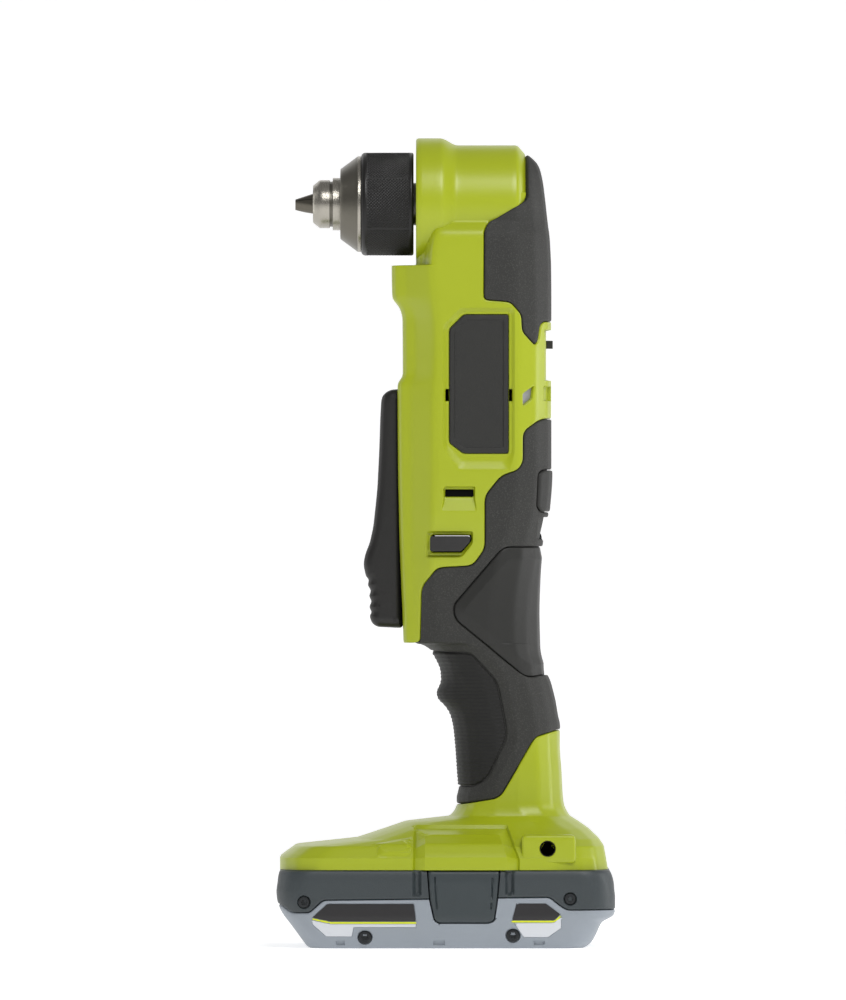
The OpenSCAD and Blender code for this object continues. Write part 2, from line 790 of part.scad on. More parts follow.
// Spur teeth: involute flanks from a few points
pressure = 25;
add_share = 0.9;
ded_share = 1.1;
slack_share = 0.14;
flank_n = 4;
function inv_a(rb, r) = let(t = sqrt(max(0, pow(r / rb, 2) - 1))) t * 180 / PI - atan(t);
function gear_points(n, m, add, ded, slack) = let(
  rp = n * m / 2,
  rb = rp * cos(pressure),
  rf = rp - ded * m,
  r0 = max(rb, rf),
  radii = [for (k = [0 : flank_n]) r0 + (rp + add * m - r0) * k / flank_n],
  half = [for (r = radii) 90 / n * (1 - slack) + inv_a(rb, rp) - inv_a(rb, r)]
) [for (i = [0 : n - 1]) let(a = 360 * i / n) each concat(
    rf < r0 ? [polar(rf, a - half[0])] : [],
    [for (k = [0 : flank_n]) polar(radii[k], a - half[k])],
    [for (k = [flank_n : -1 : 0]) polar(radii[k], a + half[k])],
    rf < r0 ? [polar(rf, a + half[0])] : []
  )];
orbit_r = planet_m * (sun_n + planet_n) / 2;
planet_count = 3;

module ring_gear() {
  color("slategray") difference() {
    z_bar(ring_r, ring_z0, ring_z1);
    translate([motor_x, 0, ring_z0 - over]) linear_extrude(ring_z1 - ring_z0 + 2 * over)
      polygon(gear_points(ring_n, planet_m, ded_share, add_share, -slack_share));
  }
}
module planet_gear(i) {
  a = 360 / planet_count * i;
  color("lightsteelblue") translate([motor_x, 0, planet_z0]) rotate(a) translate([orbit_r, 0,
      0]) difference() {
    linear_extrude(planet_l) polygon(gear_points(planet_n, planet_m, add_share, ded_share, slack_share));
    translate([0, 0, -over]) cylinder(r = pin_r + run, h = planet_l + 2 * over);
  }
}
module planet_gear_1() planet_gear(0);
module planet_gear_2() planet_gear(1);
module planet_gear_3() planet_gear(2);
module planet_pins() {
  color("white") for (i = [0 : planet_count - 1]) translate([motor_x, 0, planet_z0])
    rotate(360 / planet_count * i) translate([orbit_r, 0, 0]) cylinder(r = pin_r,
        h = carrier_z1 - planet_z0);
}

// Planet carrier: a disc on the planet pins with the shaft that carries the pinion
carrier_r = 15.2;
carrier_shaft_r = 5;
carrier_shoulder_r = 6.5;
module planet_carrier() {
  color("silver") difference() {
    union() {
      z_bar(carrier_r, carrier_z0, carrier_z1);
      z_bar(carrier_shoulder_r, carrier_z0, bearing_z0 - fit);
      z_bar(carrier_shaft_r, carrier_z0, bearing_z1 + fit);
      z_bar(pinion_shaft_r, carrier_z0, pinion_z + pinion_seat);
    }
    for (i = [0 : planet_count - 1]) translate([motor_x, 0, carrier_z0 - over])
      rotate(360 / planet_count * i) translate([orbit_r, 0, 0])
        cylinder(r = pin_r + run, h = carrier_t + 2 * over);
  }
}

// Motor: can with its front bearing, magnets, end bracket and brushes
motor_bearing_r = 8;
motor_bearing_l = 5;
tail_bearing_r = 6.5;
tail_bearing_l = 4;
bearing_boss_t = 1.6;
magnet_room = 15;
magnet_l = can_l - magnet_room;
magnet_lift = 2;
magnet_z0 = can_z0 + magnet_lift;
magnet_gap = 8;
commutator_r = 5;
commutator_l = 5;
brush_hw = 2.5;
brush_h = 3.6;
brush_l = 5.6;
holder_t = 1.2;
tail_bearing_z = bracket_z0 + over;
commutator_z0 = tail_bearing_z + tail_bearing_l + over;
brush_z0 = commutator_z0 + (commutator_l - brush_h) / 2;
module motor_can() {
  top = can_z1 + motor_bearing_l + bearing_boss_t / 2;
  color("gray") difference() {
    union() {
      z_bar(can_r, can_z0, can_z1);
      z_bar(motor_bearing_r + bearing_boss_t, can_z1 - can_t, top);
    }
    z_bar(can_r - can_t, can_z0 - over, can_z1 - can_t);
    z_bar(motor_bearing_r + run, can_z1, top - bearing_boss_t / 2);
    z_bar(motor_bearing_r - bearing_boss_t, can_z1 - 2 * can_t, top + over);
  }
}
module motor_magnets() {
  color("darkslategray") difference() {
    z_bar(can_r - can_t, magnet_z0, magnet_z0 + magnet_l);
    z_bar(can_r - can_t - magnet_t, magnet_z0 - over, magnet_z0 + magnet_l + over);
    box([-big, -magnet_gap / 2, 0], [big, magnet_gap / 2, 2 * big]);
  }
}
module motor_bearings() {
  color("gainsboro") {
    translate([motor_x, 0, can_z1]) bearing(motor_bearing_r, shaft_r + run, motor_bearing_l);
    translate([motor_x, 0, tail_bearing_z]) bearing(tail_bearing_r, shaft_r + run, tail_bearing_l);
  }
}
module brush_place(grow) {
  for (a = [0, 180]) translate([motor_x, 0, brush_z0]) rotate(a)
    box([commutator_r + slip, -brush_hw - grow, -grow],
        [commutator_r + slip + brush_l, brush_hw + grow, brush_h + grow]);
}
module motor_end_bracket() {
  color("saddlebrown") difference() {
    union() {
      z_bar(can_r, bracket_z0, can_z0);
      intersection() {
        brush_place(holder_t);
        z_bar(can_r - can_t - fit, bracket_z0, brush_z0 + brush_h + holder_t);
      }
    }
    difference() {
      z_bar(can_r - 2 * can_t, commutator_z0 - fit, can_z0 + over);
      brush_place(holder_t);
    }
    brush_place(run);
    z_bar(commutator_r + slip, commutator_z0 - fit, can_z1);
    z_bar(tail_bearing_r + run, tail_bearing_z, commutator_z0);
    z_bar(shaft_r + slip, bracket_z0 - over, commutator_z0);
  }
}
module carbon_brushes() {
  color("black") brush_place(0);
}

// Rotor: shaft, slotted core with its commutator, windings, fan and sun gear
air_gap = 0.6;
core_lift = 5;
core_r = can_r - can_t - magnet_t - air_gap;
core_z0 = magnet_z0 + core_lift;
core_z1 = magnet_z0 + magnet_l - over;
core_slots = 9;
core_slot_w = 2.4;
core_hub_r = 6.5;
winding_r = 11.6;
winding_t = 2.6;
winding_gap = 0.1;
fan_r = 15.5;
fan_l = 6;
fan_t = 1.2;
fan_blades = 11;
fan_z0 = core_z1 + winding_t + over;
sun_bore_r = 1.8;
module rotor_shaft() {
  color("gainsboro") {
    z_bar(shaft_r, tail_bearing_z, can_z1 + motor_bearing_l + over);
    z_bar(sun_bore_r, can_z1, planet_z1);
  }
}
module rotor_core() {
  color("dimgray") difference() {
    union() {
      z_bar(core_r, core_z0, core_z1);
      z_bar(commutator_r, commutator_z0, commutator_z0 + commutator_l);
    }
    for (i = [0 : core_slots - 1]) translate([motor_x, 0, 0]) rotate(360 / core_slots * i)
      box([core_hub_r, -core_slot_w / 2, core_z0 - over], [core_r + over, core_slot_w / 2, core_z1 + over]);
    z_bar(shaft_r + run, commutator_z0 - over, core_z1 + over);
  }
}
module rotor_windings() {
  color("chocolate") {
    for (z = [core_z0 - winding_t - winding_gap, core_z1 + winding_gap]) difference() {
      z_bar(winding_r, z, z + winding_t);
      z_bar(core_hub_r, z - over, z + winding_t + over);
    }
    for (i = [0 : core_slots - 1]) translate([motor_x, 0, 0]) rotate(360 / core_slots * i)
      box([core_hub_r + winding_gap, winding_gap - core_slot_w / 2, core_z0 - winding_gap],
          [winding_r, core_slot_w / 2 - winding_gap, core_z1 + winding_gap]);
  }
}
module cooling_fan() {
  color("ivory") difference() {
    union() {
      z_bar(fan_r, fan_z0, fan_z0 + fan_t);
      z_bar(core_hub_r, fan_z0, fan_z0 + fan_l);
      for (i = [0 : fan_blades - 1]) translate([motor_x, 0, 0]) rotate(360 / fan_blades * i)
        box([core_hub_r - over, -fan_t / 2, fan_z0], [fan_r, fan_t / 2, fan_z0 + fan_l]);
    }
    z_bar(shaft_r + run, fan_z0 - over, fan_z0 + fan_l + over);
  }
}
module sun_gear() {
  color("gold") translate([motor_x, 0, planet_z0]) difference() {
    rotate(180 / sun_n) linear_extrude(planet_l)
      polygon(gear_points(sun_n, planet_m, add_share, ded_share, slack_share));
    translate([0, 0, -over]) cylinder(r = sun_bore_r + run, h = planet_l + 2 * over);
  }
}

// Chuck: turned body with three slanted jaw holes, its screw, the sleeve and the jaw nut
chuck_core_r = 14.4;
sleeve_front = chuck_back - sleeve_l;
sleeve_r = sleeve_d / 2;
sleeve_edge = 1.5;
sleeve_chamfer = 0.5;
sleeve_play = 0.3;
nut_l = 5;
nut_play = 0.4;
nut_r = 15.2;
nut_bore_r = 13.1;
nut_x = chuck_back - 6;
ring_l = 1.1;
ring_outer_r = 16.35;
cone_len = 6;
cone_r = 12;
collar_l = 2.6;
nose_collar_r = 8.95;
groove_l = 0.9;
groove_r = 7.75;
tip_ring_l = 3.6;
tip_ring_r = 8.2;
tip_chamfer_l = 2.2;
tip_r = 6.5;
nose_x = sleeve_front - ring_l - cone_len - collar_l - groove_l - tip_ring_l - tip_chamfer_l;
jaw_reach = 6;
jaw_axis_r = 0.3;
jaw_count = 3;
jaw_split = 0.12;
jaw_play = 0.15;
bit_r = 5.1;
chuck_web = 1;
screw_head_l = 2;
chuck_screw_head_r = 4;

// A slanted bar along a jaw's own axis, at the nose tip, seen with the jaw on top
module jaw_bar(r, s0, s1) {
  translate([0, 0, jaw_axis_r]) rotate([0, 90 - jaw_tilt, 0]) translate([0, 0, s0]) cylinder(r = r,
      h = s1 - s0);
}
module jaw_places() {
  for (i = [0 : jaw_count - 1]) translate([nose_x, 0, spindle_z]) rotate([360 / jaw_count * i, 0,
      0]) children();
}
module chuck_body() {
  l = chuck_seat - sleeve_front;
  x1 = l + ring_l;
  x2 = x1 + cone_len;
  x3 = x2 + collar_l;
  x4 = x3 + groove_l;
  x5 = x4 + tip_ring_l;
  nut_0 = chuck_seat - nut_x - fit;
  nut_1 = nut_0 + nut_l + nut_play;
  color("darkgray") difference() {
    turned([
      [0, 0], [chuck_core_r, 0], [chuck_core_r, nut_0], [nut_bore_r - fit, nut_0],
          [nut_bore_r - fit, nut_1],
      [chuck_core_r, nut_1], [chuck_core_r, l], [ring_outer_r, l], [ring_outer_r, x1], [cone_r, x2],
      [nose_collar_r, x2], [nose_collar_r, x3], [groove_r, x3], [groove_r, x4], [tip_ring_r, x4],
      [tip_ring_r, x5], [tip_r, x5 + tip_chamfer_l], [0, x5 + tip_chamfer_l]
    ], chuck_seat);
    jaw_places() jaw_bar(jaw_r + jaw_play, -2 * jaw_reach, 2 * jaw_l);
    x_bar(bit_r, nose_x - over, chuck_seat - nose_l - chuck_web);
    x_bar(screw_hole_r + fit, nose_x, chuck_seat);
    x_bar(nose_r + run, chuck_seat - nose_l, chuck_seat + over);
  }
}
module chuck_screw() {
  head_x = chuck_seat - nose_l - chuck_web;
  color("black") {
    x_bar(chuck_screw_head_r, head_x - screw_head_l, head_x);
    x_bar(screw_hole_r - run, head_x - over, chuck_seat - nose_l + screw_hole_l - over);
  }
}
module chuck_sleeve() {
  inner = chuck_core_r + sleeve_play;
  pocket = chuck_back - nut_x + nut_l;
  color("black") turned([
    [nut_r + run, 0], [sleeve_r - sleeve_chamfer, 0], [sleeve_r, sleeve_chamfer],
        [sleeve_r, sleeve_l - sleeve_edge],
    [sleeve_r - sleeve_edge, sleeve_l - fit], [inner, sleeve_l - fit], [inner, pocket],
        [nut_r + run, pocket]
  ], chuck_back);
}
module jaw_nut() {
  color("goldenrod") difference() {
    x_bar(nut_r, nut_x - nut_l, nut_x);
    x_bar(nut_bore_r, nut_x - nut_l - over, nut_x + over);
  }
}
module jaw(i) {
  color("gainsboro") translate([nose_x, 0, spindle_z]) rotate([360 / jaw_count * i, 0, 0]) intersection() {
    jaw_bar(jaw_r, -2 * jaw_reach, jaw_l - jaw_reach / cos(jaw_tilt));
    rotate([90, 0, 90]) translate([0, 0, -jaw_reach]) linear_extrude(2 * jaw_l)
      polygon([[0, jaw_split], 2 * jaw_l * [sin(60), cos(60)],
          [0, 3 * jaw_l], 2 * jaw_l * [-sin(60), cos(60)]]);
  }
}
module jaw_1() jaw(0);
module jaw_2() jaw(1);
module jaw_3() jaw(2);

// Paddle trigger: side outline as shares of its depth ahead of its back face and of its height
trigger_d = 13.8;
trigger_top = 3.3;
lug_r = 2.8;
trigger_shares = [
  [0.145, 1], [0.42, 0.988], [0.55, 0.966], [0.58, 0.887], [0.61, 0.738], [0.652, 0.589], [0.696, 0.514],
  [0.754, 0.424], [0.84, 0.357], [0.949, 0.314], [1, 0.267], [0.949, 0.226], [0.884, 0.1845], [0.84, 0.14],
  [0.84, 0.043], [0.775, 0.017], [0.66, 0.006], [0, 0], [0, 1]
];
trigger_x = hinge_x - trigger_back;
trigger_z0 = hinge_z + trigger_top - trigger_h;
spring_z = bracket_z0 + bracket_h / 2;
spring_r = 2.4;
spring_wire_r = 0.35;
spring_turns = 5;
spring_pocket = 2.4;
module paddle_trigger() {
  color("dimgray") difference() {
    union() {
      side([for (p = trigger_shares) [trigger_x - p[0] * trigger_d, trigger_z0 + p[1] * trigger_h]],
           -trigger_hw, trigger_hw);
      y_bar(lug_r, -trigger_hw, trigger_hw, hinge_x, hinge_z);
    }
    y_bar(hinge_r + run, -trigger_hw - over, trigger_hw + over, hinge_x, hinge_z);
    x_bar(spring_r + 2 * spring_wire_r + slip, trigger_x - spring_pocket, trigger_x + over, spring_z);
  }
}
module trigger_pin() {
  color("silver") y_bar(hinge_r, -hinge_hl, hinge_hl, hinge_x, hinge_z);
}

// A coil spring along Z: one tube of round wire, by its radius, wire, turns and length
coil_steps = 8;
wire_sides = 6;
module coil(r, wire, turns, l) {
  m = turns * coil_steps;
  points = [for (j = [0 : m]) let(a = 360 * j / coil_steps, z = wire + (l - 2 * wire) * j / m)
    for (i = [0 : wire_sides - 1]) let(b = 360 * i / wire_sides)
      [(r + wire * cos(b)) * cos(a), (r + wire * cos(b)) * sin(a), z + wire * sin(b)]];
  sides = [for (j = [0 : m - 1]) for (i = [0 : wire_sides - 1]) let(
      a = j * wire_sides + i,
      b = j * wire_sides + (i + 1) % wire_sides
    ) each [[a, b, a + wire_sides], [b, b + wire_sides, a + wire_sides]]];
  first = [for (i = [wire_sides - 1 : -1 : 0]) i];
  last = [for (i = [0 : wire_sides - 1]) m * wire_sides + i];
  polyhedron(points, concat(sides, [first, last]));
}
module trigger_spring() {
  x0 = trigger_x - spring_pocket + skin_gap;
  color("silver") translate([x0, 0, spring_z]) rotate([0, 90, 0])
    coil(spring_r, spring_wire_r, spring_turns, motor_x - can_r - fit - x0);
}

// Trigger switch on its rib, with the plunger that the trigger pushes
switch_l = 21;
switch_hw = 9.5;
switch_gap = 3.8;
switch_reach = 7.6;
switch_z0 = switch_rib_z + rib_t + skin_gap;
switch_h = selector_z - selector_h / 2 - switch_gap - switch_z0;
plunger_share = 0.525;
plunger_rise = plunger_share * switch_h;
plunger_in = 5;
plunger_room = 11;
switch_x = hinge_x + switch_reach;
module trigger_switch() {
  color("black") difference() {
    box([switch_x, -switch_hw, switch_z0], [switch_x + switch_l, switch_hw, switch_z0 + switch_h]);
    x_bar(plunger_r + skin_gap, switch_x - over, switch_x + plunger_room, switch_z0 + plunger_rise);
  }
}
module switch_plunger() {
  color("red") x_bar(plunger_r, trigger_x + slip, switch_x + plunger_in, switch_z0 + plunger_rise);
}

// Direction selector that goes through both sides of the body
selector_shares = [[-0.5, 0.5], [0.5, 0.5], [0.5, 0.17], [0.27, -0.5], [-0.5, -0.5]];
selector_hw_share = 0.947;
selector_fin = 2;
module direction_selector() {
  hy = body_hw * selector_hw_share + selector_proud;
  color("black") {
    side([for (p = selector_shares) [selector_x + p[0] * selector_l, selector_z + p[1] * selector_h]],
        -hy, hy);
    box([selector_x - selector_fin, -selector_fin, switch_z0 + switch_h + fit],
        [selector_x + selector_fin, selector_fin, selector_z]);
  }
}

// Slider at the back: knob outside, stem through the slot, plate inside the wall
slider_plate_t = 1.2;
slider_plate_hw = 3.4;
module light_slider() {
  z = at_z(slider_z_share);
  face = back_x;
  color("black") {
    box([face - recess_floor + fit, -slider_hw, z - slider_h / 2],
        [face + slider_proud, slider_hw, z + slider_h / 2]);
    box([face - wall - fit - slider_plate_t, -slider_stem_hw, z - slider_h / 2],
        [face, slider_stem_hw, z + slider_h / 2]);
    box([face - wall - fit - slider_plate_t, -slider_plate_hw, z - slider_plate_h / 2],
        [face - wall - fit, slider_plate_hw, z + slider_plate_h / 2]);
  }
}

// Light, control board, terminal block, screws and threaded inserts
lens_flange_t = 1.4;
module led_lens() {
  x = at_x(lens_x_share);
  z = at_z(lens_z_share);
  color("white") {
    box([x, -lens_hw, z - lens_h / 2], [x + lens_t + lens_back, lens_hw, z + lens_h / 2]);
    box([x + lens_t, -lens_hw - lens_lip, z - lens_h / 2 - lens_lip],
        [x + lens_t + lens_flange_t, lens_hw + lens_lip, z + lens_h / 2 + lens_lip]);
  }
}
board_l = 16;
board_hw = 9.5;
board_t = 1.6;
board_x_share = 0;
chip_l = 6;
chip_h = 2;
chip_gap = 1.3;
module control_board() {
  z = board_rib_z + rib_t + skin_gap;
  x = at_x(board_x_share);
  color("darkgreen") {
    box([x, -board_hw, z], [x + board_l, board_hw, z + board_t]);
    for (i = [0 : 1]) let(cx = x + chip_gap + i * (chip_l + chip_gap))
      box([cx, -chip_l / 2, z + board_t], [cx + chip_l, chip_l / 2, z + board_t + chip_h]);
  }
}
contact_t = 0.3;
stem_z1 = battery_h + stem_h;
block_hl = 6.3;
block_share = 0.75;
block_hw = 9;
block_lug = 4;
module terminal_block() {
  z1 = board_rib_z - skin_gap;
  z0 = z1 - (z1 - stem_z1) * block_share;
  color("dimgray") {
    box([stem_x - block_hl, -block_hw, z0], [stem_x + block_hl, block_hw, z1]);
    both() box([stem_x - block_lug, block_lug, stem_z1 + contact_t + slip],
        [stem_x + block_lug, block_hw, z1]);
  }
}
module housing_screws() {
  color("black") for (p = screw_places) {
    y_bar(screw_r, -screw_depth, screw_seat + over, p[0], p[1]);
    y_bar(screw_head_r, screw_seat + skin_gap, screw_seat + screw_head_t, p[0], p[1]);
  }
}
module clip_inserts() {
  x = at_x(clip_x_share);
  z = at_z(clip_z_share);
  color("goldenrod") both() difference() {
    y_bar(insert_r, clip_proud - insert_l, clip_proud - fit, x, z);
    y_bar(clip_r, clip_proud - insert_l - over, clip_proud, x, z);
  }
}

// Battery outlines as shares of its length, width and height
foot_gap = 0.1;
case_z1 = battery_h - foot_gap;
pack_side_shares = [
  [-0.404, 0], [-0.48, 0.43], [-0.4975, 0.566], [-0.5, 0.7245], [-0.491, 1], [0.4845, 1], [0.4965, 0.82],
  [0.5, 0.664], [0.5, 0.498], [0.4965, 0.43], [0.46, 0.32], [0.431, 0.08], [0.416, 0]
];
pack_plan_shares = [[0.5, 0.36], [0.492, 0.42], [0.47, 0.465], [0.44, 0.49], [0.4, 0.5]];
pack_front_shares = [[-0.455, 0], [-0.49, 0.18], [-0.5, 0.4], [-0.5, 0.85], [-0.49, 1]];
parting_shares = [
  [-0.6, 0.562], [-0.494, 0.562], [-0.456, 0.453], [-0.402, 0.453], [-0.361, 0.615], [-0.056, 0.63],
  [0.16, 0.645], [0.305, 0.653], [0.337, 0.543], [0.357, 0.49], [0.6, 0.498]
];
hollow_shares = [[-0.385, 0], [0.4, 0], [0.44, 0.4], [0.465, 0.45], [0.47, 1], [-0.465, 1], [-0.45, 0.45]];
function across(list, sx, sz) = [for (p = list) [p[0] * sx, p[1] * sz]];
function mirrored(list) = concat(list, [for (i = [len(list) - 1 : -1 : 0]) [-list[i][0], list[i][1]]]);
module pack_form() {
  quarter = mirrored(pack_plan_shares);
  plan = concat(quarter, [for (i = [len(quarter) - 1 : -1 : 0]) [quarter[i][0], -quarter[i][1]]]);
  intersection() {
    side(across(pack_side_shares, battery_l, case_z1), -battery_w, battery_w);
    linear_extrude(case_z1) polygon(across(plan, battery_l, battery_w));
    translate([-battery_l, 0, 0]) rotate([90, 0, 90]) linear_extrude(2 * battery_l)
      polygon(across(mirrored(pack_front_shares), battery_w, case_z1));
  }
}

// Latches in the pack's sides: outline as shares of length and height
latch_l = 24.5;
latch_h = 17.8;
latch_x = 6.05;
latch_t = 3.6;
latch_proud = 0.4;
latch_travel = 2.5;
latch_shares = [
  [-0.5, 1], [0.5, 1], [0.459, 0.42], [0.418, 0.03], [0.35, 0], [-0.36, 0], [-0.402, 0.03], [-0.463, 0.42]
];
latch_y1 = battery_w / 2 + latch_proud;
latch_y0 = latch_y1 - latch_t;
latch_floor = latch_y0 - latch_travel - slip;
cell_l = battery_w - 2 * cell_side;
cell_play = 0.4;
hollow_hw = cell_l / 2 + cell_play;
module latch_recess() {
  both() box([latch_x - latch_l / 2 - slip, latch_floor, case_z1 - latch_h - slip],
      [latch_x + latch_l / 2 + slip, big, big]);
}
pack_screw_shares = [[-0.418, 0.592], [0.3665, 0.634], [-0.2365, 0.151], [0.198, 0.17]];
pack_screw_r = 2;
pack_screw_l = 4;
pack_screw_y = battery_w / 2 - 2;
module pack_space() {
  side([for (p = hollow_shares) [p[0] * battery_l, case_t + p[1] * (case_z1 - 2 * case_t)]], -hollow_hw,
      hollow_hw);
  latch_recess();
  stem_bar(skin_gap, battery_h / 2, 2 * battery_h);
  both() for (p = pack_screw_shares)
    y_bar(pack_screw_r + fit, pack_screw_y - pack_screw_l - skin_gap, battery_w, p[0] * battery_l,
        p[1] * battery_h);
}
module battery_upper_case() {
  color("darkslategray") difference() {
    intersection() {
      pack_form();
      side(concat(across(parting_shares, battery_l, case_z1), [[big, big],
          [-big, big]]), -battery_w, battery_w);
    }
    pack_space();
  }
}
module battery_lower_case() {
  color("lightslategray") difference() {
    intersection() {
      pack_form();
      side(concat(across(parting_shares, battery_l, case_z1), [[big, -big],
          [-big, -big]]), -battery_w, battery_w);
    }
    pack_space();
  }
}
stem_t = 1.6;
module battery_stem() {
  z0 = case_z1 - case_t;
  color("darkslategray") difference() {
    stem_bar(0, z0, stem_z1);
    stem_bar(-stem_t, z0 - over, stem_z1 - stem_t);
  }
}
cell_gap = 0.6;
holder_end = 2;
holder_w = 3;
holder_in = 7.5;
holder_y = cell_l / 2 - holder_in;
cell_row = (hollow_shares[1][0] - hollow_shares[0][0]) * battery_l - 2 * holder_end;
cell_count = floor(cell_row / (cell_d + cell_gap));
cell_lift = 1;
cell_z = case_t + fit + cell_d / 2;
function cell_x(i) = (i - (cell_count - 1) / 2) * (cell_d + cell_gap);
module battery_cells() {
  z1 = stem_z1 - stem_t - fit;
  color("steelblue") {
    for (i = [0 : cell_count - 1]) y_bar(cell_d / 2, -cell_l / 2, cell_l / 2, cell_x(i), cell_z);
    z_bar(cell_d / 2, cell_z + cell_d / 2 + cell_lift, z1, stem_x);
  }
}
module cell_holder() {
  hl = cell_x(cell_count - 1) + cell_d / 2 + holder_end;
  color("black") both() difference() {
    box([-hl, holder_y, case_t + skin_gap], [hl, holder_y + holder_w, cell_z + cell_d / 2 + fit]);
    for (i = [0 : cell_count - 1])
      y_bar(cell_d / 2 + skin_gap, holder_y - over, holder_y + holder_w + over, cell_x(i), cell_z);
  }
}
strip_hh = 3.5;
module battery_contacts() {
  color("gainsboro") both() {
    for (i = [0 : 2 : cell_count - 2])
      box([cell_x(i), cell_l / 2, cell_z - strip_hh],
          [cell_x(i + 1), cell_l / 2 + contact_t, cell_z + strip_hh]);
    box([stem_x - block_lug, block_lug, stem_z1],
        [stem_x + block_lug, block_lug + strip_hh, stem_z1 + contact_t]);
  }
}
module battery_screws() {
  color("black") both() for (p = pack_screw_shares)
    y_bar(pack_screw_r, pack_screw_y - pack_screw_l, pack_screw_y, p[0] * battery_l, p[1] * battery_h);
}
module latch() {
  color("darkslategray")
    side([for (p = latch_shares) [latch_x + p[0] * latch_l, case_z1 + (p[1] - 1) * latch_h]], latch_y0,
        latch_y1);
}
module battery_latch_left() mirror([0, 1, 0]) latch();
module battery_latch_right() latch();
latch_spring_r = 2.2;
latch_spring_wire = 0.3;
latch_spring_turns = 3;
module latch_springs() {
  color("silver") both() translate([latch_x, latch_floor + skin_gap, case_z1 - latch_h / 2]) rotate([-90,
      0, 0])
    coil(latch_spring_r, latch_spring_wire, latch_spring_turns, latch_y0 - latch_floor - 2 * skin_gap);
}

housing_left();
housing_right();
overmould_left();
overmould_right();
palm_pads();
grip_inserts();
side_badges();
rear_badge();
gear_case();
gear_case_cover();
spindle_bearings();
carrier_bearing();
ring_gear();
motor_can();
motor_magnets();
motor_bearings();
motor_end_bracket();
carbon_brushes();
control_board();
trigger_switch();
trigger_pin();
trigger_spring();
led_lens();
terminal_block();
housing_screws();
clip_inserts();
spindle();
crown_gear();
chuck_body();
chuck_screw();
chuck_sleeve();
jaw_nut();
jaw_1();
jaw_2();
jaw_3();
planet_carrier();
planet_pins();
bevel_pinion();
planet_gear_1();
planet_gear_2();
planet_gear_3();
rotor_shaft();
rotor_core();
rotor_windings();
cooling_fan();
sun_gear();
paddle_trigger();
switch_plunger();
direction_selector();
light_slider();
battery_upper_case();
battery_lower_case();
battery_stem();
battery_cells();
cell_holder();
battery_contacts();
battery_screws();
battery_latch_left();
battery_latch_right();
latch_springs();
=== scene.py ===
import json
import math

import bpy
import numpy as np
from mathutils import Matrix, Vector
from mathutils.geometry import tessellate_polygon


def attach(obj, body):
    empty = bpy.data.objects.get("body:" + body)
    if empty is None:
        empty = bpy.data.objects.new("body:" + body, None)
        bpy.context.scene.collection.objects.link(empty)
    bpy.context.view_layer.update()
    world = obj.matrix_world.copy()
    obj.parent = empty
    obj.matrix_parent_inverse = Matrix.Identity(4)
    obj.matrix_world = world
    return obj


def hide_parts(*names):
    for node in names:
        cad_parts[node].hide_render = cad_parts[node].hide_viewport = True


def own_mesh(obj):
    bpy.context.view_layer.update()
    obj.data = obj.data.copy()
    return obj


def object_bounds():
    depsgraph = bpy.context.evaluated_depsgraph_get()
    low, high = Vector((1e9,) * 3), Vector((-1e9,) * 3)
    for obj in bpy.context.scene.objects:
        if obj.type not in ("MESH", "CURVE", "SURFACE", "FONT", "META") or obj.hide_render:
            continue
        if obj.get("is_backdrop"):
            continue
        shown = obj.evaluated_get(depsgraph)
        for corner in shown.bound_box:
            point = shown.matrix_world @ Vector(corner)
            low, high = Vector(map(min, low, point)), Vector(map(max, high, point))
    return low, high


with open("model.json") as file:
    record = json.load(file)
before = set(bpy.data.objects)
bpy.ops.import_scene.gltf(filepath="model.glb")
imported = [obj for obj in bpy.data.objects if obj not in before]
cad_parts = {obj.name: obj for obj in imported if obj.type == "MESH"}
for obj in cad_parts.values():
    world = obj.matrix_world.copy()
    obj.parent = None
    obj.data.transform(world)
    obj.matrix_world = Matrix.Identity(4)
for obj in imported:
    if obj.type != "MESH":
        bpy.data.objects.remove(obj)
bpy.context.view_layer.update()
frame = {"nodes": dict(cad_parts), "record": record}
print("frame loaded")

# Sizes below are in millimetres and become metres when a mesh is made.
mm = 0.001
scene = bpy.context.scene
finishes = {}


def smoothStep(value, low, high):
    t = np.clip((value - low) / (high - low), 0, 1)
    return t * t * (3 - 2 * t)


def unit(vectors):
    return vectors / np.maximum(np.linalg.norm(vectors, axis=-1, keepdims=True), 1e-9)


# How far the surface faces sideways, from 0 to 1.
def sideways(v):
    return np.abs(unit(v[:, 3:6])[:, 1])


def summed(steps):
    return np.concatenate([[0], np.cumsum(steps)])


# Corners turned into quadratic curves between the points where the rounding starts and ends.
def rounded(points, radius, steps=5):
    points = np.asarray(points, float)
    out = []
    for before, corner, after in zip(np.roll(points, 1, 0), points, np.roll(points, -1, 0)):
        a, b = before - corner, after - corner
        reach = min(radius, np.linalg.norm(a) / 2, np.linalg.norm(b) / 2)
        p, q = corner + unit(a) * reach, corner + unit(b) * reach
        for t in np.linspace(0, 1, steps):
            out.append((1 - t) ** 2 * p + 2 * t * (1 - t) * corner + t * t * q)
    return np.array(out)


# Signed distance to an outline in the side view: the nearest edge, negative inside.
def outlineDistance(outline, v):
    x, z = v[:, 0], v[:, 2]
    nearest = np.full(len(x), 1e9)
    inside = np.zeros(len(x), bool)
    for (ax, az), (bx, bz) in zip(outline, np.roll(outline, -1, 0)):
        ex, ez, px, pz = bx - ax, bz - az, x - ax, z - az
        t = np.clip((px * ex + pz * ez) / max(ex * ex + ez * ez, 1e-12), 0, 1)
        nearest = np.minimum(nearest, (px - t * ex) ** 2 + (pz - t * ez) ** 2)
        inside ^= ((az > z) != (bz > z)) & (x < ax + pz * ex / (ez if ez else 1e-12))
    return np.where(inside, -1, 1) * np.sqrt(nearest)


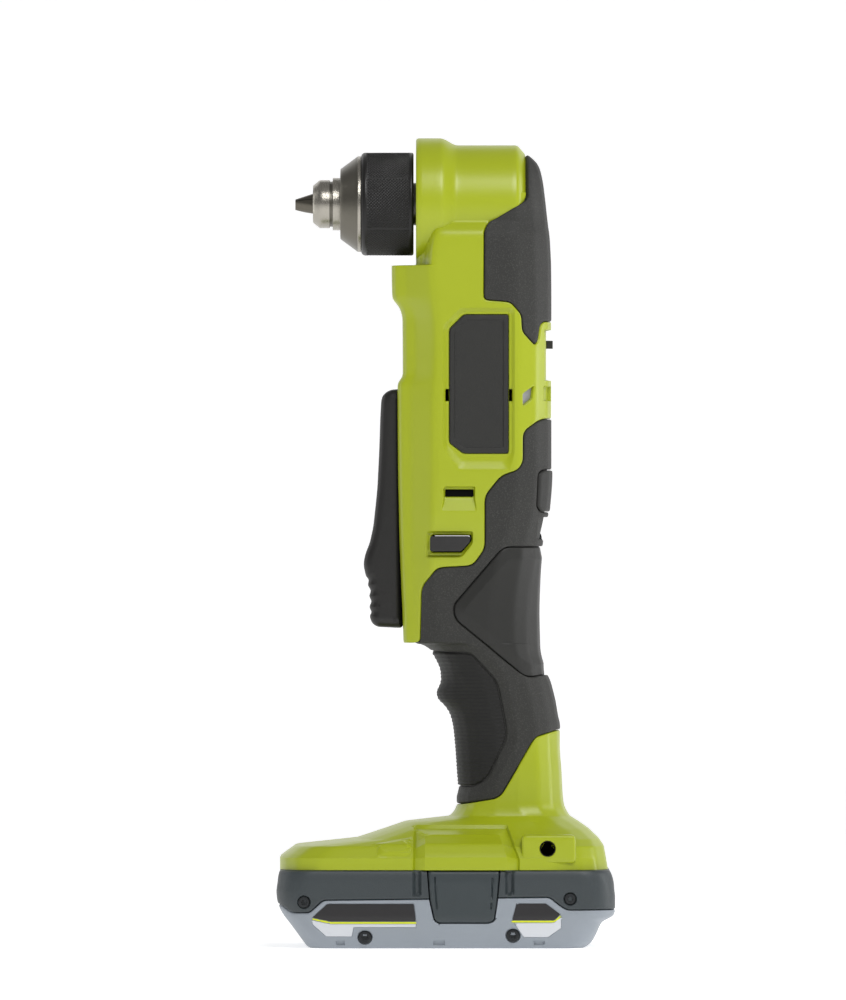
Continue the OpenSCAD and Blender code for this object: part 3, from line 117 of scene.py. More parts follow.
# Triangles that the zero line of a value crosses are cut along it, with new points where it is zero.
def splitAt(verts, tris, value):
    value = np.where(np.abs(value) < 2e-3, 0, value)
    signs = np.sign(value)[tris]
    crossed = (signs.min(1) < 0) & (signs.max(1) > 0)
    if not crossed.any():
        return verts, tris
    signs, cut = signs[crossed], tris[crossed]
    lone = np.where((signs > 0).sum(1) == 1, 1, -1)
    turn = (np.argmax(signs == lone[:, None], 1)[:, None] + np.arange(3)) % 3
    cut, signs = np.take_along_axis(cut, turn, 1), np.take_along_axis(signs, turn, 1)
    ends = []
    for k in (1, 2):
        ends.append(np.where(signs[:, k] == -lone, np.minimum(cut[:, 0], cut[:, k]) * len(verts)
                             + np.maximum(cut[:, 0], cut[:, k]), -1))
    keys = np.unique(np.concatenate(ends))
    keys = keys[keys >= 0]
    i, j = keys // len(verts), keys % len(verts)
    t = (value[i] / (value[i] - value[j]))[:, None]
    made = verts[i] + (verts[j] - verts[i]) * t
    a, b, c = cut.T
    p = np.where(ends[0] >= 0, np.searchsorted(keys, ends[0]) + len(verts), b)
    q = np.where(ends[1] >= 0, np.searchsorted(keys, ends[1]) + len(verts), c)
    new = np.concatenate([np.stack(s, 1) for s in ((a, p, q), (p, b, c), (p, c, q))])
    real = (new[:, 0] != new[:, 1]) & (new[:, 1] != new[:, 2]) & (new[:, 2] != new[:, 0])
    return np.concatenate([verts, made]), np.concatenate([tris[~crossed], new[real]])


# A sheet cut along lines of its fields and trimmed to where the keep field is negative.
def trim(sheet, keep, lines):
    verts, tris = sheet
    for field, levels in [(keep, (0,))] + lines:
        for level in levels:
            verts, tris = splitAt(verts, tris, field(verts) - level)
    middle = verts[tris].mean(1)
    tris = tris[keep(middle) < 0]
    used, tris = np.unique(tris, return_inverse=True)
    return verts[used], tris.reshape(-1, 3)


# A closed plate: outer face lifted along the normals, inner face set in by the thickness or at least a little
# below the outer one, and the edges joined.
def plate(sheet, lift, thick, least=0.4):
    verts, tris = sheet
    normals = unit(verts[:, 3:6])
    outer = verts[:, :3] + normals * lift[:, None]
    inner = verts[:, :3] - normals * np.maximum(thick, least - lift)[:, None]
    edges = np.concatenate([tris[:, [0, 1]], tris[:, [1, 2]], tris[:, [2, 0]]])
    keys = edges.min(1) * len(verts) + edges.max(1)
    _, index, count = np.unique(keys, return_index=True, return_counts=True)
    i, j = edges[index[count == 1]].T
    n = len(verts)
    walls = np.concatenate([np.stack([j, i, i + n], 1), np.stack([j, i + n, j + n], 1)])
    return np.concatenate([outer, inner]), np.concatenate([tris, tris[:, ::-1] + n, walls])


# Depth of a rounded edge: a quarter circle of the given radius from the edge inward.
def edgeDrop(distance, radius):
    inside = np.clip(distance + radius, 0, radius)
    return radius - np.sqrt(np.maximum(radius**2 - inside**2, 0))


def edgeLevels(radius):
    return tuple(-radius * share for share in (0.08, 0.3, 0.62, 1))


# Faces of a grid of rows and columns, as triangles, with either direction closed on itself if wanted.
def gridFaces(rows, cols, wrapCols=False, wrapRows=False):
    r, c = np.meshgrid(np.arange(rows if wrapRows else rows - 1),
                       np.arange(cols if wrapCols else cols - 1), indexing="ij")
    a, b = r * cols + c, r * cols + (c + 1) % cols
    d, e = (r + 1) % rows * cols + c, (r + 1) % rows * cols + (c + 1) % cols
    return np.concatenate([np.stack([a, b, e], -1).reshape(-1, 3), np.stack([a, e, d], -1).reshape(-1, 3)])


def joined(parts):
    points, faces, start = [], [], 0
    for p, f in parts:
        points.append(np.asarray(p, float).reshape(-1, 3))
        faces.append(np.asarray(f) + start)
        start += len(points[-1])
    return np.concatenate(points), np.concatenate(faces)


# Turns a mesh so that its faces look outward, by the sign of its volume.
def outward(points, faces):
    a, b, c = points[faces[:, 0]], points[faces[:, 1]], points[faces[:, 2]]
    volume = np.einsum("ij,ij->i", a, np.cross(b, c)).sum()
    return (points, faces) if volume > 0 else (points, faces[:, ::-1])


def mirrored(points, faces):
    return points * (1, -1, 1), faces[:, ::-1]


def linked(name, data):
    made = bpy.data.objects.new(name, data)
    scene.collection.objects.link(made)
    return made


# A mesh object in metres, smooth but for sharp edges, that rides a body. It stands for the CAD node of its own
# name unless other nodes or none are given, and its finish is then its slot.
def makePiece(name, mesh, slot, body, nodes=None, sharp=38):
    points, faces = mesh
    nodes = [name] if nodes is None else nodes
    data = bpy.data.meshes.new(name)
    data.from_pydata((points * mm).tolist(), [], faces.tolist())
    data.validate()
    data.shade_smooth()
    data.set_sharp_from_angle(angle=math.radians(sharp))
    data.materials.append(finishes[slot])
    piece = linked(f"{name}_form", data)
    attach(piece, body)
    if nodes:
        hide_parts(*nodes)
    return piece


# Triangles that fill a ring, turned the way the ring runs.
def fill(ring):
    faces = np.array(tessellate_polygon([[Vector(p) for p in ring]]))
    a, b, c = ring[faces[:, 0]], ring[faces[:, 1]], ring[faces[:, 2]]
    area = np.cross(ring, np.roll(ring, -1, 0)).sum(0)
    return faces if area @ np.cross(b - a, c - a).sum(0) > 0 else faces[:, ::-1]


# Rings of points carried along a path, with both end rings filled.
def tube(rings):
    rings = np.asarray(rings, float)
    count, around = rings.shape[:2]
    caps = [fill(rings[0])[:, ::-1], fill(rings[-1]) + (count - 1) * around]
    return outward(rings.reshape(-1, 3), np.concatenate([gridFaces(count, around, True)] + caps))


# A closed profile of (x, radius) pairs turned about the spindle axis.
def turned(profile, around, ripple=None):
    profile = np.asarray(profile, float)
    angle = np.arange(around) / around * 2 * np.pi
    x = np.repeat(profile[:, :1], around, 1)
    r = np.repeat(profile[:, 1:2], around, 1)
    if ripple is not None:
        r = r + ripple(x, angle[None, :], r)
    points = np.stack([x, r * np.sin(angle), head["z"] + r * np.cos(angle)], -1)
    return outward(points.reshape(-1, 3), gridFaces(len(profile), around, True, True))


# Points along a profile no further apart than a step, corners kept.
def dense(profile, step):
    profile = np.asarray(profile, float)
    out = [profile[:1]]
    for a, b in zip(profile[:-1], profile[1:]):
        n = max(1, int(np.ceil(np.linalg.norm(b - a) / step)))
        out.append(a + (b - a) * (np.arange(1, n + 1) / n)[:, None])
    return np.concatenate(out)


def linear(color):
    c = np.asarray(color, float) / 255
    return (*np.where(c < 0.04045, c / 12.92, ((c + 0.055) / 1.055) ** 2.4), 1.0)


# Values that all finishes share.
texture = {"driftScale": 28, "speckEdge": 0.06, "roughSpread": 0.06, "bump": 0.0004}


# A finish worked out from object coordinates: broad tone drift, fine specks, grain in the surface.
def finish(name, color, rough, metal=0.0, drift=0.06, grain=(900, 0.05), speck=None, brushed=None, shine=0.5,
           glow=None):
    made = bpy.data.materials.new(name)
    made.use_nodes = True
    nodes, links = made.node_tree.nodes, made.node_tree.links
    shader = nodes["Principled BSDF"]

    def added(kind, values):
        node = nodes.new(f"ShaderNode{kind}")
        for key, value in values.items():
            node.inputs[key].default_value = value
        return node

    place = added("TexCoord", {})
    stretch = added("Mapping", {"Scale": brushed or (1, 1, 1)})
    links.new(place.outputs["Object"], stretch.inputs["Vector"])

    def noise(scale, detail, source=place.outputs["Object"]):
        node = added("TexNoise", {"Scale": scale, "Detail": detail})
        links.new(source, node.inputs["Vector"])
        return node.outputs["Fac"]

    def mixed(factor, a, b):
        node = added("Mix", {})
        node.data_type = "RGBA"
        links.new(factor, node.inputs["Factor"])
        for socket, value in ((node.inputs[6], a), (node.inputs[7], b)):
            if isinstance(value, tuple):
                socket.default_value = value
            else:
                links.new(value, socket)
        return node.outputs[2]

    base = np.array(linear(color)[:3])
    darker, lighter = ((*np.clip(base * share, 0, 1), 1) for share in (1 - drift, 1 + drift))
    tone = mixed(noise(texture["driftScale"], 3), darker, lighter)
    if speck:
        low, high = speck["from"], speck["from"] + texture["speckEdge"]
        sharpen = added("MapRange", {"From Min": low, "From Max": high, "To Max": speck["amount"]})
        links.new(noise(speck["scale"], 1), sharpen.inputs["Value"])
        tone = mixed(sharpen.outputs["Result"], tone, linear(speck["color"]))
    links.new(tone, shader.inputs["Base Color"])
    fine = noise(grain[0], 4, stretch.outputs["Vector"])
    bump = added("Bump", {"Strength": grain[1], "Distance": texture["bump"]})
    links.new(fine, bump.inputs["Height"])
    links.new(bump.outputs["Normal"], shader.inputs["Normal"])
    spread = added("MapRange", {"To Min": max(rough - texture["roughSpread"], 0.02),
                                "To Max": min(rough + texture["roughSpread"], 1)})
    links.new(fine, spread.inputs["Value"])
    links.new(spread.outputs["Result"], shader.inputs["Roughness"])
    shader.inputs["Metallic"].default_value = metal
    shader.inputs["Specular IOR Level"].default_value = shine
    if glow:
        shader.inputs["Transmission Weight"].default_value = glow
    finishes[name] = made
    return made


grit = {"scale": 2600, "from": 0.57, "amount": 0.3, "color": (78, 78, 74)}
finish("green_plastic", (153, 165, 21), 0.34, grain=(1500, 0.05), drift=0.03, shine=0.45)
finish("soft_rubber", (41, 41, 39), 0.6, shine=0.35, speck=grit, grain=(2400, 0.35))
finish("smooth_rubber", (33, 33, 31), 0.5, shine=0.35, grain=(1800, 0.08))
finish("ribbed_rubber", (25, 25, 24), 0.6, shine=0.3, grain=(2400, 0.2))
finish("badge_plastic", (37, 37, 35), 0.55, shine=0.35, grain=(2600, 0.3))
finish("cast_alloy", (168, 168, 170), 0.5, 0.9, grain=(900, 0.2))
finish("bearing_steel", (180, 180, 180), 0.25, 1.0, brushed=(1, 12, 12))
finish("gear_steel", (140, 138, 134), 0.35, 1.0)
finish("can_steel", (52, 52, 54), 0.4, 0.8, brushed=(6, 6, 1))
finish("magnet", (60, 58, 58), 0.6, 0.3)
finish("black_plastic", (28, 27, 27), 0.6, grain=(2000, 0.15))
finish("trigger_plastic", (24, 23, 22), 0.42, shine=0.4, grain=(2200, 0.12))
# Near-black, used below as painted shade: sheets in the slot and round the selector, and rings down the
# threaded hole.
finish("vent_black", (7, 7, 7), 0.9, shine=0.1)
finish("carbon", (30, 30, 30), 0.6)
finish("board", (30, 84, 58), 0.45)
finish("spring_steel", (170, 170, 172), 0.25, 1.0)
finish("lens", (236, 238, 232), 0.08, glow=0.75, grain=(400, 0.01))
finish("black_steel", (44, 46, 48), 0.48, 0.6)
finish("brass", (44, 41, 36), 0.4, 0.8)
finish("chuck_steel", (158, 154, 145), 0.26, 1.0, brushed=(40, 1, 1), grain=(700, 0.12))
# A darker copy of chuck_steel, painted shade on the chuck's cone and in its groove.
finish("cone_steel", (104, 101, 93), 0.32, 1.0, brushed=(40, 1, 1), grain=(700, 0.12))
finish("sleeve_plastic", (17, 16, 15), 0.38, shine=0.35, grain=(2200, 0.1))
finish("jaw_steel", (96, 92, 84), 0.3, 1.0, brushed=(1, 14, 14))
finish("copper", (176, 104, 58), 0.35, 0.9, brushed=(20, 20, 1))
finish("dark_case", (50, 57, 60), 0.48, grain=(2200, 0.14))
finish("grey_case", (138, 145, 153), 0.46, grain=(2200, 0.12))
finish("cell_wrap", (60, 110, 150), 0.35)
finish("contact_metal", (200, 198, 190), 0.25, 1.0)
finish("latch_plastic", (47, 55, 58), 0.42, grain=(2200, 0.1))
finish("label_dark", (24, 22, 24), 0.4, grain=(1200, 0.02))
finish("label_silver", (200, 203, 208), 0.42, 0.1, grain=(1600, 0.04))
finish("label_lime", (205, 214, 24), 0.4, grain=(1200, 0.02))
print("finishes made")

finishes["bracket_plastic"] = finishes["black_plastic"]
for part in frame["record"]["subparts"]:
    node = frame["nodes"].get(part["node"])
    if node is not None:
        node.data.materials.clear()
        node.data.materials.append(finishes[part["material_slot"]])
        node.data.shade_smooth()
        node.data.set_sharp_from_angle(angle=math.radians(30))
print("frame nodes finished")

body = {
    "foot": 26.5, "rise": 225.6, "motor": 10.6, "depth": 50.4, "half": 22.5, "top": 256.0, "straight": 44,
    # softening along the rows, its heights and round the girth; knots kept beside the trigger and their heights
    "rowBlur": 0.55, "blurred": (38, 268), "soft": 1.15, "girth": 95.0, "planSize": (50, 22),
    "guard": (102.8, 161.8), "guardKnots": 5, "guardEnds": (0.3, 2),
    # front that the side columns follow: from a height, back by, least, softening, share of the depth
    "even": (228, 7.5, -18, 9, 0.27),
    # half plans front to back, as shares of depth and half width
    "bodyPlan": [(0, 0), (0, 0.51), (0.024, 0.605), (0.083, 0.676), (0.224, 0.978), (0.27, 1),
                 (0.77, 1), (0.9, 0.82), (0.976, 0.58), (1, 0.355), (1, 0)],
    "handlePlan": [(0, 0), (0.02, 0.3), (0.06, 0.52), (0.13, 0.72), (0.25, 0.9), (0.4, 0.99),
                   (0.6, 1), (0.78, 0.9), (0.9, 0.68), (0.975, 0.36), (1, 0)],
    "footPlan": [(0, 0), (0, 0.6), (0.02, 0.8), (0.055, 0.93), (0.12, 1), (0.4, 1),
                 (0.8, 1), (0.91, 0.95), (0.965, 0.84), (1, 0.6), (1, 0)],
    # height share, front and back shares, half width share, share of the body plan and of the foot plan
    "stations": [
        (0, -1.325, 0.881, 1.733, 0, 1), (0.018, -1.325, 0.867, 1.733, 0, 1),
        (0.035, -1.22, 0.853, 1.6, 0, 1), (0.045, -0.81, 0.821, 1.4, 0, 1), (0.06, -0.617, 0.754, 1.15, 0, 0.8),
        (0.0705, -0.488, 0.687, 0.955, 0, 0.6), (0.0785, -0.188, 0.629, 0.825, 0, 0.3),
        (0.098, -0.133, 0.585, 0.773, 0, 0), (0.147, -0.147, 0.571, 0.764, 0, 0),
        (0.185, -0.159, 0.56, 0.76, 0, 0), (0.2135, -0.173, 0.56, 0.764, 0, 0),
        (0.2315, -0.194, 0.544, 0.769, 0, 0), (0.243, -0.228, 0.536, 0.773, 0, 0),
        (0.253, -0.272, 0.528, 0.778, 0, 0), (0.264, -0.284, 0.516, 0.782, 0, 0),
        (0.283, -0.254, 0.492, 0.791, 0, 0), (0.2965, -0.258, 0.462, 0.8, 0, 0),
        (0.314, -0.29, 0.437, 0.818, 0, 0), (0.3255, -0.323, 0.425, 0.831, 0, 0),
        (0.3365, -0.381, 0.421, 0.846, 0, 0), (0.3385, -0.492, 0.421, 0.847, 0.05, 0),
        (0.385, -0.502, 0.417, 0.88, 0.2, 0), (0.432, -0.512, 0.423, 0.907, 0.4, 0),
        (0.4925, -0.522, 0.446, 0.947, 0.75, 0), (0.5315, -0.526, 0.48, 0.978, 0.9, 0),
        (0.599, -0.532, 0.5, 1, 1, 0), (0.7275, -0.536, 0.5, 1, 1, 0), (0.7425, -0.5, 0.5, 1, 1, 0),
        (0.826, -0.502, 0.5, 1, 1, 0), (0.8425, -0.52, 0.5, 1, 1, 0), (0.86, -0.571, 0.5, 1, 1, 0),
        (0.9065, -0.575, 0.498, 1, 1, 0), (0.908, -0.411, 0.498, 1, 1, 0), (0.9285, -0.411, 0.494, 1, 1, 0),
        (0.9545, -0.411, 0.486, 0.99, 1, 0), (0.9645, -0.4, 0.479, 0.92, 1, 0),
        (0.9755, -0.3, 0.472, 0.85, 1, 0), (1.004, -0.21, 0.458, 0.88, 1, 0), (1.0345, -0.21, 0.44, 0.81, 1, 0),
        (1.0575, -0.21, 0.411, 0.66, 1, 0), (1.074, -0.171, 0.337, 0.48, 1, 0),
        (1.0835, -0.131, 0.274, 0.28, 1, 0), (1.084, -0.1, 0.24, 0.01, 1, 0)],
    # outlines in the side view, x and z
    "upperSkin": [(27.5, 280), (27.5, 253.4), (14.3, 245.4), (13, 243.1), (12.9, 219.3), (21.9, 218.6),
                  (25.8, 214.4), (26.1, 208.6), (30.4, 203.9), (31.5, 205.7), (32.2, 210.7), (33.3, 212),
                  (45, 212.2), (45, 280)],
    "lowerSkin": [(45, 179), (32.5, 179), (26.4, 174.7), (26.4, 164.4), (24.7, 161.7), (18.8, 159.7),
                  (13.3, 152.9), (13.3, 135), (9.1, 129.2), (-2.9, 128.5), (-8.4, 122), (-8.8, 102.7),
                  (-30, 102.4), (-30, 48.3), (4.3, 48.3), (16.9, 50.3), (19, 51.7), (29.4, 69.5),
                  (31, 71.3), (38.8, 73.6), (45, 73.6)],
    "palm": [(19.5, 135.6), (2.9, 116.2), (2.6, 113.2), (3.9, 110.3), (25.4, 92.8), (28.6, 91.4),
             (33.8, 92.4), (45, 92.4), (45, 135.6)],
    "grip": [(-30, 99.3), (4.7, 99.5), (8.6, 99), (17.3, 89.9), (19.5, 79), (20.8, 71.3), (13.8, 57.4),
             (9.9, 54.8), (3.9, 54.4), (-30, 54.4)],
    "badge": [(6.1, 214.4), (1.1, 209.5), (1.1, 170.9), (5.9, 167.2), (21.4, 167.2), (21.4, 214.4)],
    "badgeFrame": [(5, 216.6), (-1, 210.6), (-1, 169.2), (4.6, 161.7), (21.8, 161.7), (23.4, 167.6),
                   (23.4, 216.6)],
    "vent": [(26.3, 187.5), (30, 190.2), (29.3, 185.7), (26.3, 183.4)],
    "slot": [(-0.2, 152.5), (9.4, 152.5), (9.4, 155), (-0.2, 155)],
    "slotPocket": [(-1.7, 147.6), (10.8, 147.6), (9.9, 151.9), (10.1, 156.1), (-0.9, 156.1), (-0.7, 151.9)],
    "selector": [(-5.7, 139.6), (8.7, 139.6), (8.7, 137.4), (5.4, 133.7), (-5.7, 133.7)],
    "selectorPocket": [(-6.8, 141), (9.3, 141), (9.3, 136.8), (5.6, 132), (-6.8, 132)],
    "footPanel": [(-10.9, 20), (24.5, 20), (24.5, 30), (20.5, 41), (-10.4, 41)],
    "footFacet": [(-23.3, 31.1), (-11.6, 31.1), (-11.6, 37.5), (-23.3, 35.5)],
    "accessory": (34.39, 33.72, 2.9),
    "rearBadge": [(33, 161.7), (31.5, 160.4), (31, 149.2), (32.2, 147.4), (50, 147.4), (50, 161.7)],
    "rearSlot": [(31.9, 145.6), (31.2, 138), (50, 138), (50, 145.6)],
    "clips": [[(-0.1, 185), (1, 185), (1, 189), (-0.1, 189)],
              [(21.5, 185), (22.6, 185), (22.6, 189), (21.5, 189)]],
    # side places of the screws and the depth of their heads
    "screws": [(30.6, 229, 14), (-9, 225.9, 14), (6.3, 103, 14), (-22, 31.2, 14), (49.2, 32.3, 14),
               (30, 138.6, 11)],
    "screwHole": 3.1,
    # boxes by two corners
    "triggerSlot": ((-40, -10.1, 104.9), (-9.3, 10.1, 190.8)),
    "lightSlot": ((-40, -7.2, 221.9), (-14, 7.2, 227.3)),
    "rearRecess": ((30, -14.5, 191.9), (50, 14.5, 209.3)), "rearPocket": ((33.1, -20, 185), (50, -7.5, 190)),
}
outlines = {key: rounded(body[key], radius) for key, radius in (
    ("upperSkin", 1.6), ("lowerSkin", 2.2), ("palm", 3), ("grip", 3), ("badge", 1), ("badgeFrame", 1.2),
    ("vent", 0.5), ("slot", 0.3), ("slotPocket", 0.8), ("selector", 0.6), ("selectorPocket", 1),
    ("rearBadge", 0.8), ("rearSlot", 0.5))}


# Smooth curve through a table's rows, level wherever the slopes on both sides differ in sign.
def curveThrough(s, table, at):
    h = np.diff(s)[:, None]
    d = np.diff(table, axis=0) / h
    same = d[:-1] * d[1:] > 0
    w1, w2 = 2 * h[1:] + h[:-1], h[1:] + 2 * h[:-1]
    slope = np.zeros_like(table)
    before, after = np.where(same, d[:-1], 1), np.where(same, d[1:], 1)
    slope[1:-1] = np.where(same, (w1 + w2) / (w1 / before + w2 / after), 0)
    slope[0], slope[-1] = d[0], d[-1]
    i = np.clip(np.searchsorted(s, at, side="right") - 1, 0, len(s) - 2)
    t = ((at - s[i]) / h[i, 0])[:, None]
    return ((1 + 2 * t) * (1 - t) ** 2 * table[i] + t * (1 - t) ** 2 * h[i] * slope[i]
            + t * t * (3 - 2 * t) * table[i + 1] + t * t * (t - 1) * h[i] * slope[i + 1])


def blurred(values, sigma, axis, odd=False):
    reach = int(np.ceil(3 * sigma))
    weights = np.exp(-0.5 * (np.arange(-reach, reach + 1) / sigma) ** 2)
    weights /= weights.sum()
    values = np.moveaxis(values, axis, 0)
    sign = -1 if odd else 1
    padded = np.concatenate([sign * values[reach:0:-1], values, sign * values[-2:-reach - 2:-1]])
    out = sum(w * padded[k:k + len(values)] for k, w in enumerate(weights))
    return np.moveaxis(out, 0, axis)


# The housing's outer surface on the left: stations up the height, mixed half plans round the back. Rows run
# straight between stations at the foot, and beside the trigger the front keeps the width of the body's plan.
def bodySheet(rowStep, cols, low=0.0, high=400.0):
    table = np.array(body["stations"], float)
    table[:, 0] = body["foot"] + table[:, 0] * body["rise"]
    table[:, 1:3] = body["motor"] + table[:, 1:3] * body["depth"]
    table[:, 3] *= body["half"]
    s = summed(np.maximum(np.abs(np.diff(table[:, :4], axis=0)).max(1), 0.05))
    at = np.arange(0, s[-1], rowStep)
    straight = np.stack([np.interp(at, s, column) for column in table.T], 1)
    rows = curveThrough(s, table, at)
    rows = np.where(rows[:, :1] < body["straight"], straight, rows)
    smooth = blurred(rows, body["rowBlur"] / rowStep, 0)
    begin, end = body["blurred"]
    rows = np.where((rows[:, :1] > begin) & (rows[:, :1] < end), smooth, rows)
    plans = [np.array(body[key], float) for key in ("bodyPlan", "footPlan", "handlePlan")]
    step = np.linalg.norm(np.diff((plans[0] + plans[2]) / 2 * body["planSize"], axis=0), axis=1)
    knots = summed(step) / step.sum()
    t = np.linspace(0, 1, cols)
    between = np.stack([np.interp(t, knots, row) for row in np.eye(len(knots))])
    weights = np.stack([rows[:, 4], rows[:, 5], 1 - rows[:, 4] - rows[:, 5]], 1)
    u, v = (weights @ np.stack([plan[:, i] for plan in plans]) for i in (0, 1))
    (begin, end), (foot, top), z = body["guard"], body["guardEnds"], rows[:, :1]
    guard = smoothStep(z, begin - foot, begin + foot) * (1 - smoothStep(z, end - top, end))
    front = np.arange(len(knots)) < body["guardKnots"]
    wide = np.minimum(1, plans[0][:, 1] * body["half"] / np.maximum(rows[:, 3:4], 1))
    u = np.where(front, u + (plans[0][:, 0] - u) * guard, u) @ between
    v = np.where(front, v + (wide - v) * guard, v) @ between
    soft = body["soft"] * cols / body["girth"]
    u, v = blurred(u, soft, 1), blurred(v, soft, 1, odd=True)
    u = (u - u[:, :1]) / (u[:, -1:] - u[:, :1])
    begin, back, least, blur, share = body["even"]
    even = np.where(z > begin, np.maximum(rows[:, 1:2] - back, least), rows[:, 1:2])
    even = blurred(even, blur / rowStep, 0)
    x = even + u * (rows[:, 2:3] - even) + (rows[:, 1:2] - even) * (1 - smoothStep(u, 0, share))
    points = np.stack([x, -v * rows[:, 3:4], np.repeat(rows[:, :1], cols, 1)], -1)
    normals = np.cross(np.gradient(points, axis=1), np.gradient(points, axis=0))
    normals[:, [0, -1], 1] = 0
    inside = (rows[:, 0] > low) & (rows[:, 0] < high)
    points, normals = points[inside], unit(normals[inside])
    verts = np.concatenate([points, normals], -1).reshape(-1, 6)
    return verts, gridFaces(int(inside.sum()), cols)


# Distance to one of the named outlines.
def away(name):
    return lambda v: outlineDistance(outlines[name], v)


# The same for an outline without hollows, as the largest distance to its edges' lines, so corners stay sharp.
def facet(name):
    corners = np.array(body[name], float)
    along = unit(np.roll(corners, -1, 0) - corners)
    edges = list(zip(corners, along))
    return lambda v: np.max([(v[:, 0] - x) * ez - (v[:, 2] - z) * ex for (x, z), (ex, ez) in edges], axis=0)


def boxDistance(v, low, high):
    low, high = np.array(low, float), np.array(high, float)
    return np.max(np.abs(v[:, :3] - (low + high) / 2) - (high - low) / 2, axis=1)


# Openings in the shell: trigger slot, light, selector, vents, snap windows, threaded hole, and the screws on
# the right.
def openings(v, right):
    d = np.minimum(boxDistance(v, *body["triggerSlot"]), boxDistance(v, *body["lightSlot"]))
    for name in ("selector", "vent", "slot"):
        d = np.minimum(d, away(name)(v))
    for clip in body["clips"]:
        d = np.minimum(d, outlineDistance(np.array(clip, float), v))
    x, z, r = body["accessory"]
    d = np.minimum(d, np.hypot(v[:, 0] - x, v[:, 2] - z) - r)
    if right:
        for x, z, _ in body["screws"]:
            d = np.minimum(d, np.hypot(v[:, 0] - x, v[:, 2] - z) - body["screwHole"])
    return d


def rearRecess(v):
    return boxDistance(v, *body["rearRecess"])


def rearPocket(v):
    return boxDistance(v, *body["rearPocket"])


def skinField(v):
    return np.minimum(away("upperSkin")(v), away("lowerSkin")(v))


gap = 0.12


def greenKeep(right):
    return lambda v: np.max([gap - skinField(v), -openings(v, right), v[:, 2] - body["top"]], axis=0)


def skinKeep(right):
    return lambda v: np.max([skinField(v) + gap, gap - away("palm")(v), gap - away("grip")(v),
                             gap - away("rearBadge")(v), -away("rearSlot")(v), -openings(v, right)], axis=0)


def underKeep(right):
    return lambda v: np.max([skinField(v) + 0.02, -openings(v, right)], axis=0)


# Depths, slopes and widths of the shapes in the shell and its skin.
relief = {
    "round": 0.5, "frame": (1.1, 1.7), "seat": 0.8, "ramp": (147.7, 4.6, 1.7, 0.5), "dish": (0.9, 0.7),
    "recess": (1.7, 0.4), "pocket": (1.2, 0.3), "panel": (2, 3.6, 0.9, 0.5), "facet": (0.8, 1.2),
    "skinRound": 0.6, "skinProud": 0.12, "gripSlope": (1.1, 0.2, 3.6), "headRise": (1.0, 242.5, 246),
    "shell": 2.2, "skin": 1.3, "under": 1.35,
}


# Lift of the green shell: sloped frame down to the badge place, ramp into the vent, selector dish, rear recess
# and pocket, raised panel on the foot with a broad slope at its sides, small facet beside it.
def greenLift(v, right):
    lift = -edgeDrop(greenKeep(right)(v), relief["round"])
    inner, outer = away("badge")(v), -away("badgeFrame")(v)
    deep, steep = relief["frame"]
    fall = np.clip(outer / np.maximum(outer + np.maximum(inner, 0), 1e-6) * steep, 0, 1)
    lift -= np.where(outer > 0, deep * fall + relief["seat"] * smoothStep(-inner, -gap, 0), 0)
    begin, rise, deep, edge = relief["ramp"]
    pocket = -away("slotPocket")(v)
    ramp = np.clip((v[:, 2] - begin) / rise, 0, 1) * deep
    lift -= np.where(pocket > 0, ramp * smoothStep(pocket, 0, edge), 0)
    for key, field in (("dish", away("selectorPocket")), ("recess", rearRecess), ("pocket", rearPocket)):
        deep, edge = relief[key]
        lift -= deep * smoothStep(-field(v), 0, edge)
    high, slope, low, edge = relief["panel"]
    panel = -facet("footPanel")(v)
    beside = -low * (1 - smoothStep(-panel, 0, edge))
    lift += np.where(panel > 0, high * np.clip(panel / slope, 0, 1) - low, beside)
    high, slope = relief["facet"]
    return lift + high * np.clip(-facet("footFacet")(v) / slope, 0, 1)


# Lift of the skin: a broad slope round the grip, and forward over the side of the head.
def skinLift(v, right):
    lift = relief["skinProud"] - edgeDrop(skinKeep(right)(v), relief["skinRound"])
    deep, begin, slope = relief["gripSlope"]
    lift -= deep * (1 - np.clip((away("grip")(v) - begin) / slope, 0, 1))
    high, begin, end = relief["headRise"]
    return lift + high * smoothStep(v[:, 2], begin, end) * sideways(v)


sheet = bodySheet(1.0, 128)
print("body sheet", len(sheet[0]))
shells = {}
for side, right in (("left", False), ("right", True)):
    keep, turn = greenKeep(right), mirrored if right else lambda *mesh: mesh
    lines = [(keep, edgeLevels(relief["round"])), (away("badgeFrame"), (0,)), (away("badge"), (1.0, gap, 0)),
             (away("slotPocket"), (0, -0.25, -0.5)), (away("selectorPocket"), (0, -0.35, -0.7)),
             (rearRecess, (0, -0.2, -0.4)), (rearPocket, (0, -0.3)), (facet("footPanel"), (0.5, 0, -3.6)),
             (facet("footFacet"), (0, -1.2))]
    part = trim(sheet, keep, lines)
    shells[side] = turn(*plate(part, greenLift(part[0], right), relief["shell"]))
    keep = skinKeep(right)
    part = trim(sheet, keep, [(keep, edgeLevels(relief["skinRound"])), (away("grip"), (0.2, 2, 3.8))])
    under = trim(sheet, underKeep(right), [])
    skin = joined([plate(part, skinLift(part[0], right), relief["skin"]),
                   plate(under, np.full(len(under[0]), -relief["under"]), relief["shell"])])
    makePiece(f"overmould_{side}", turn(*skin), "soft_rubber", "housing")
print("overmoulds made")

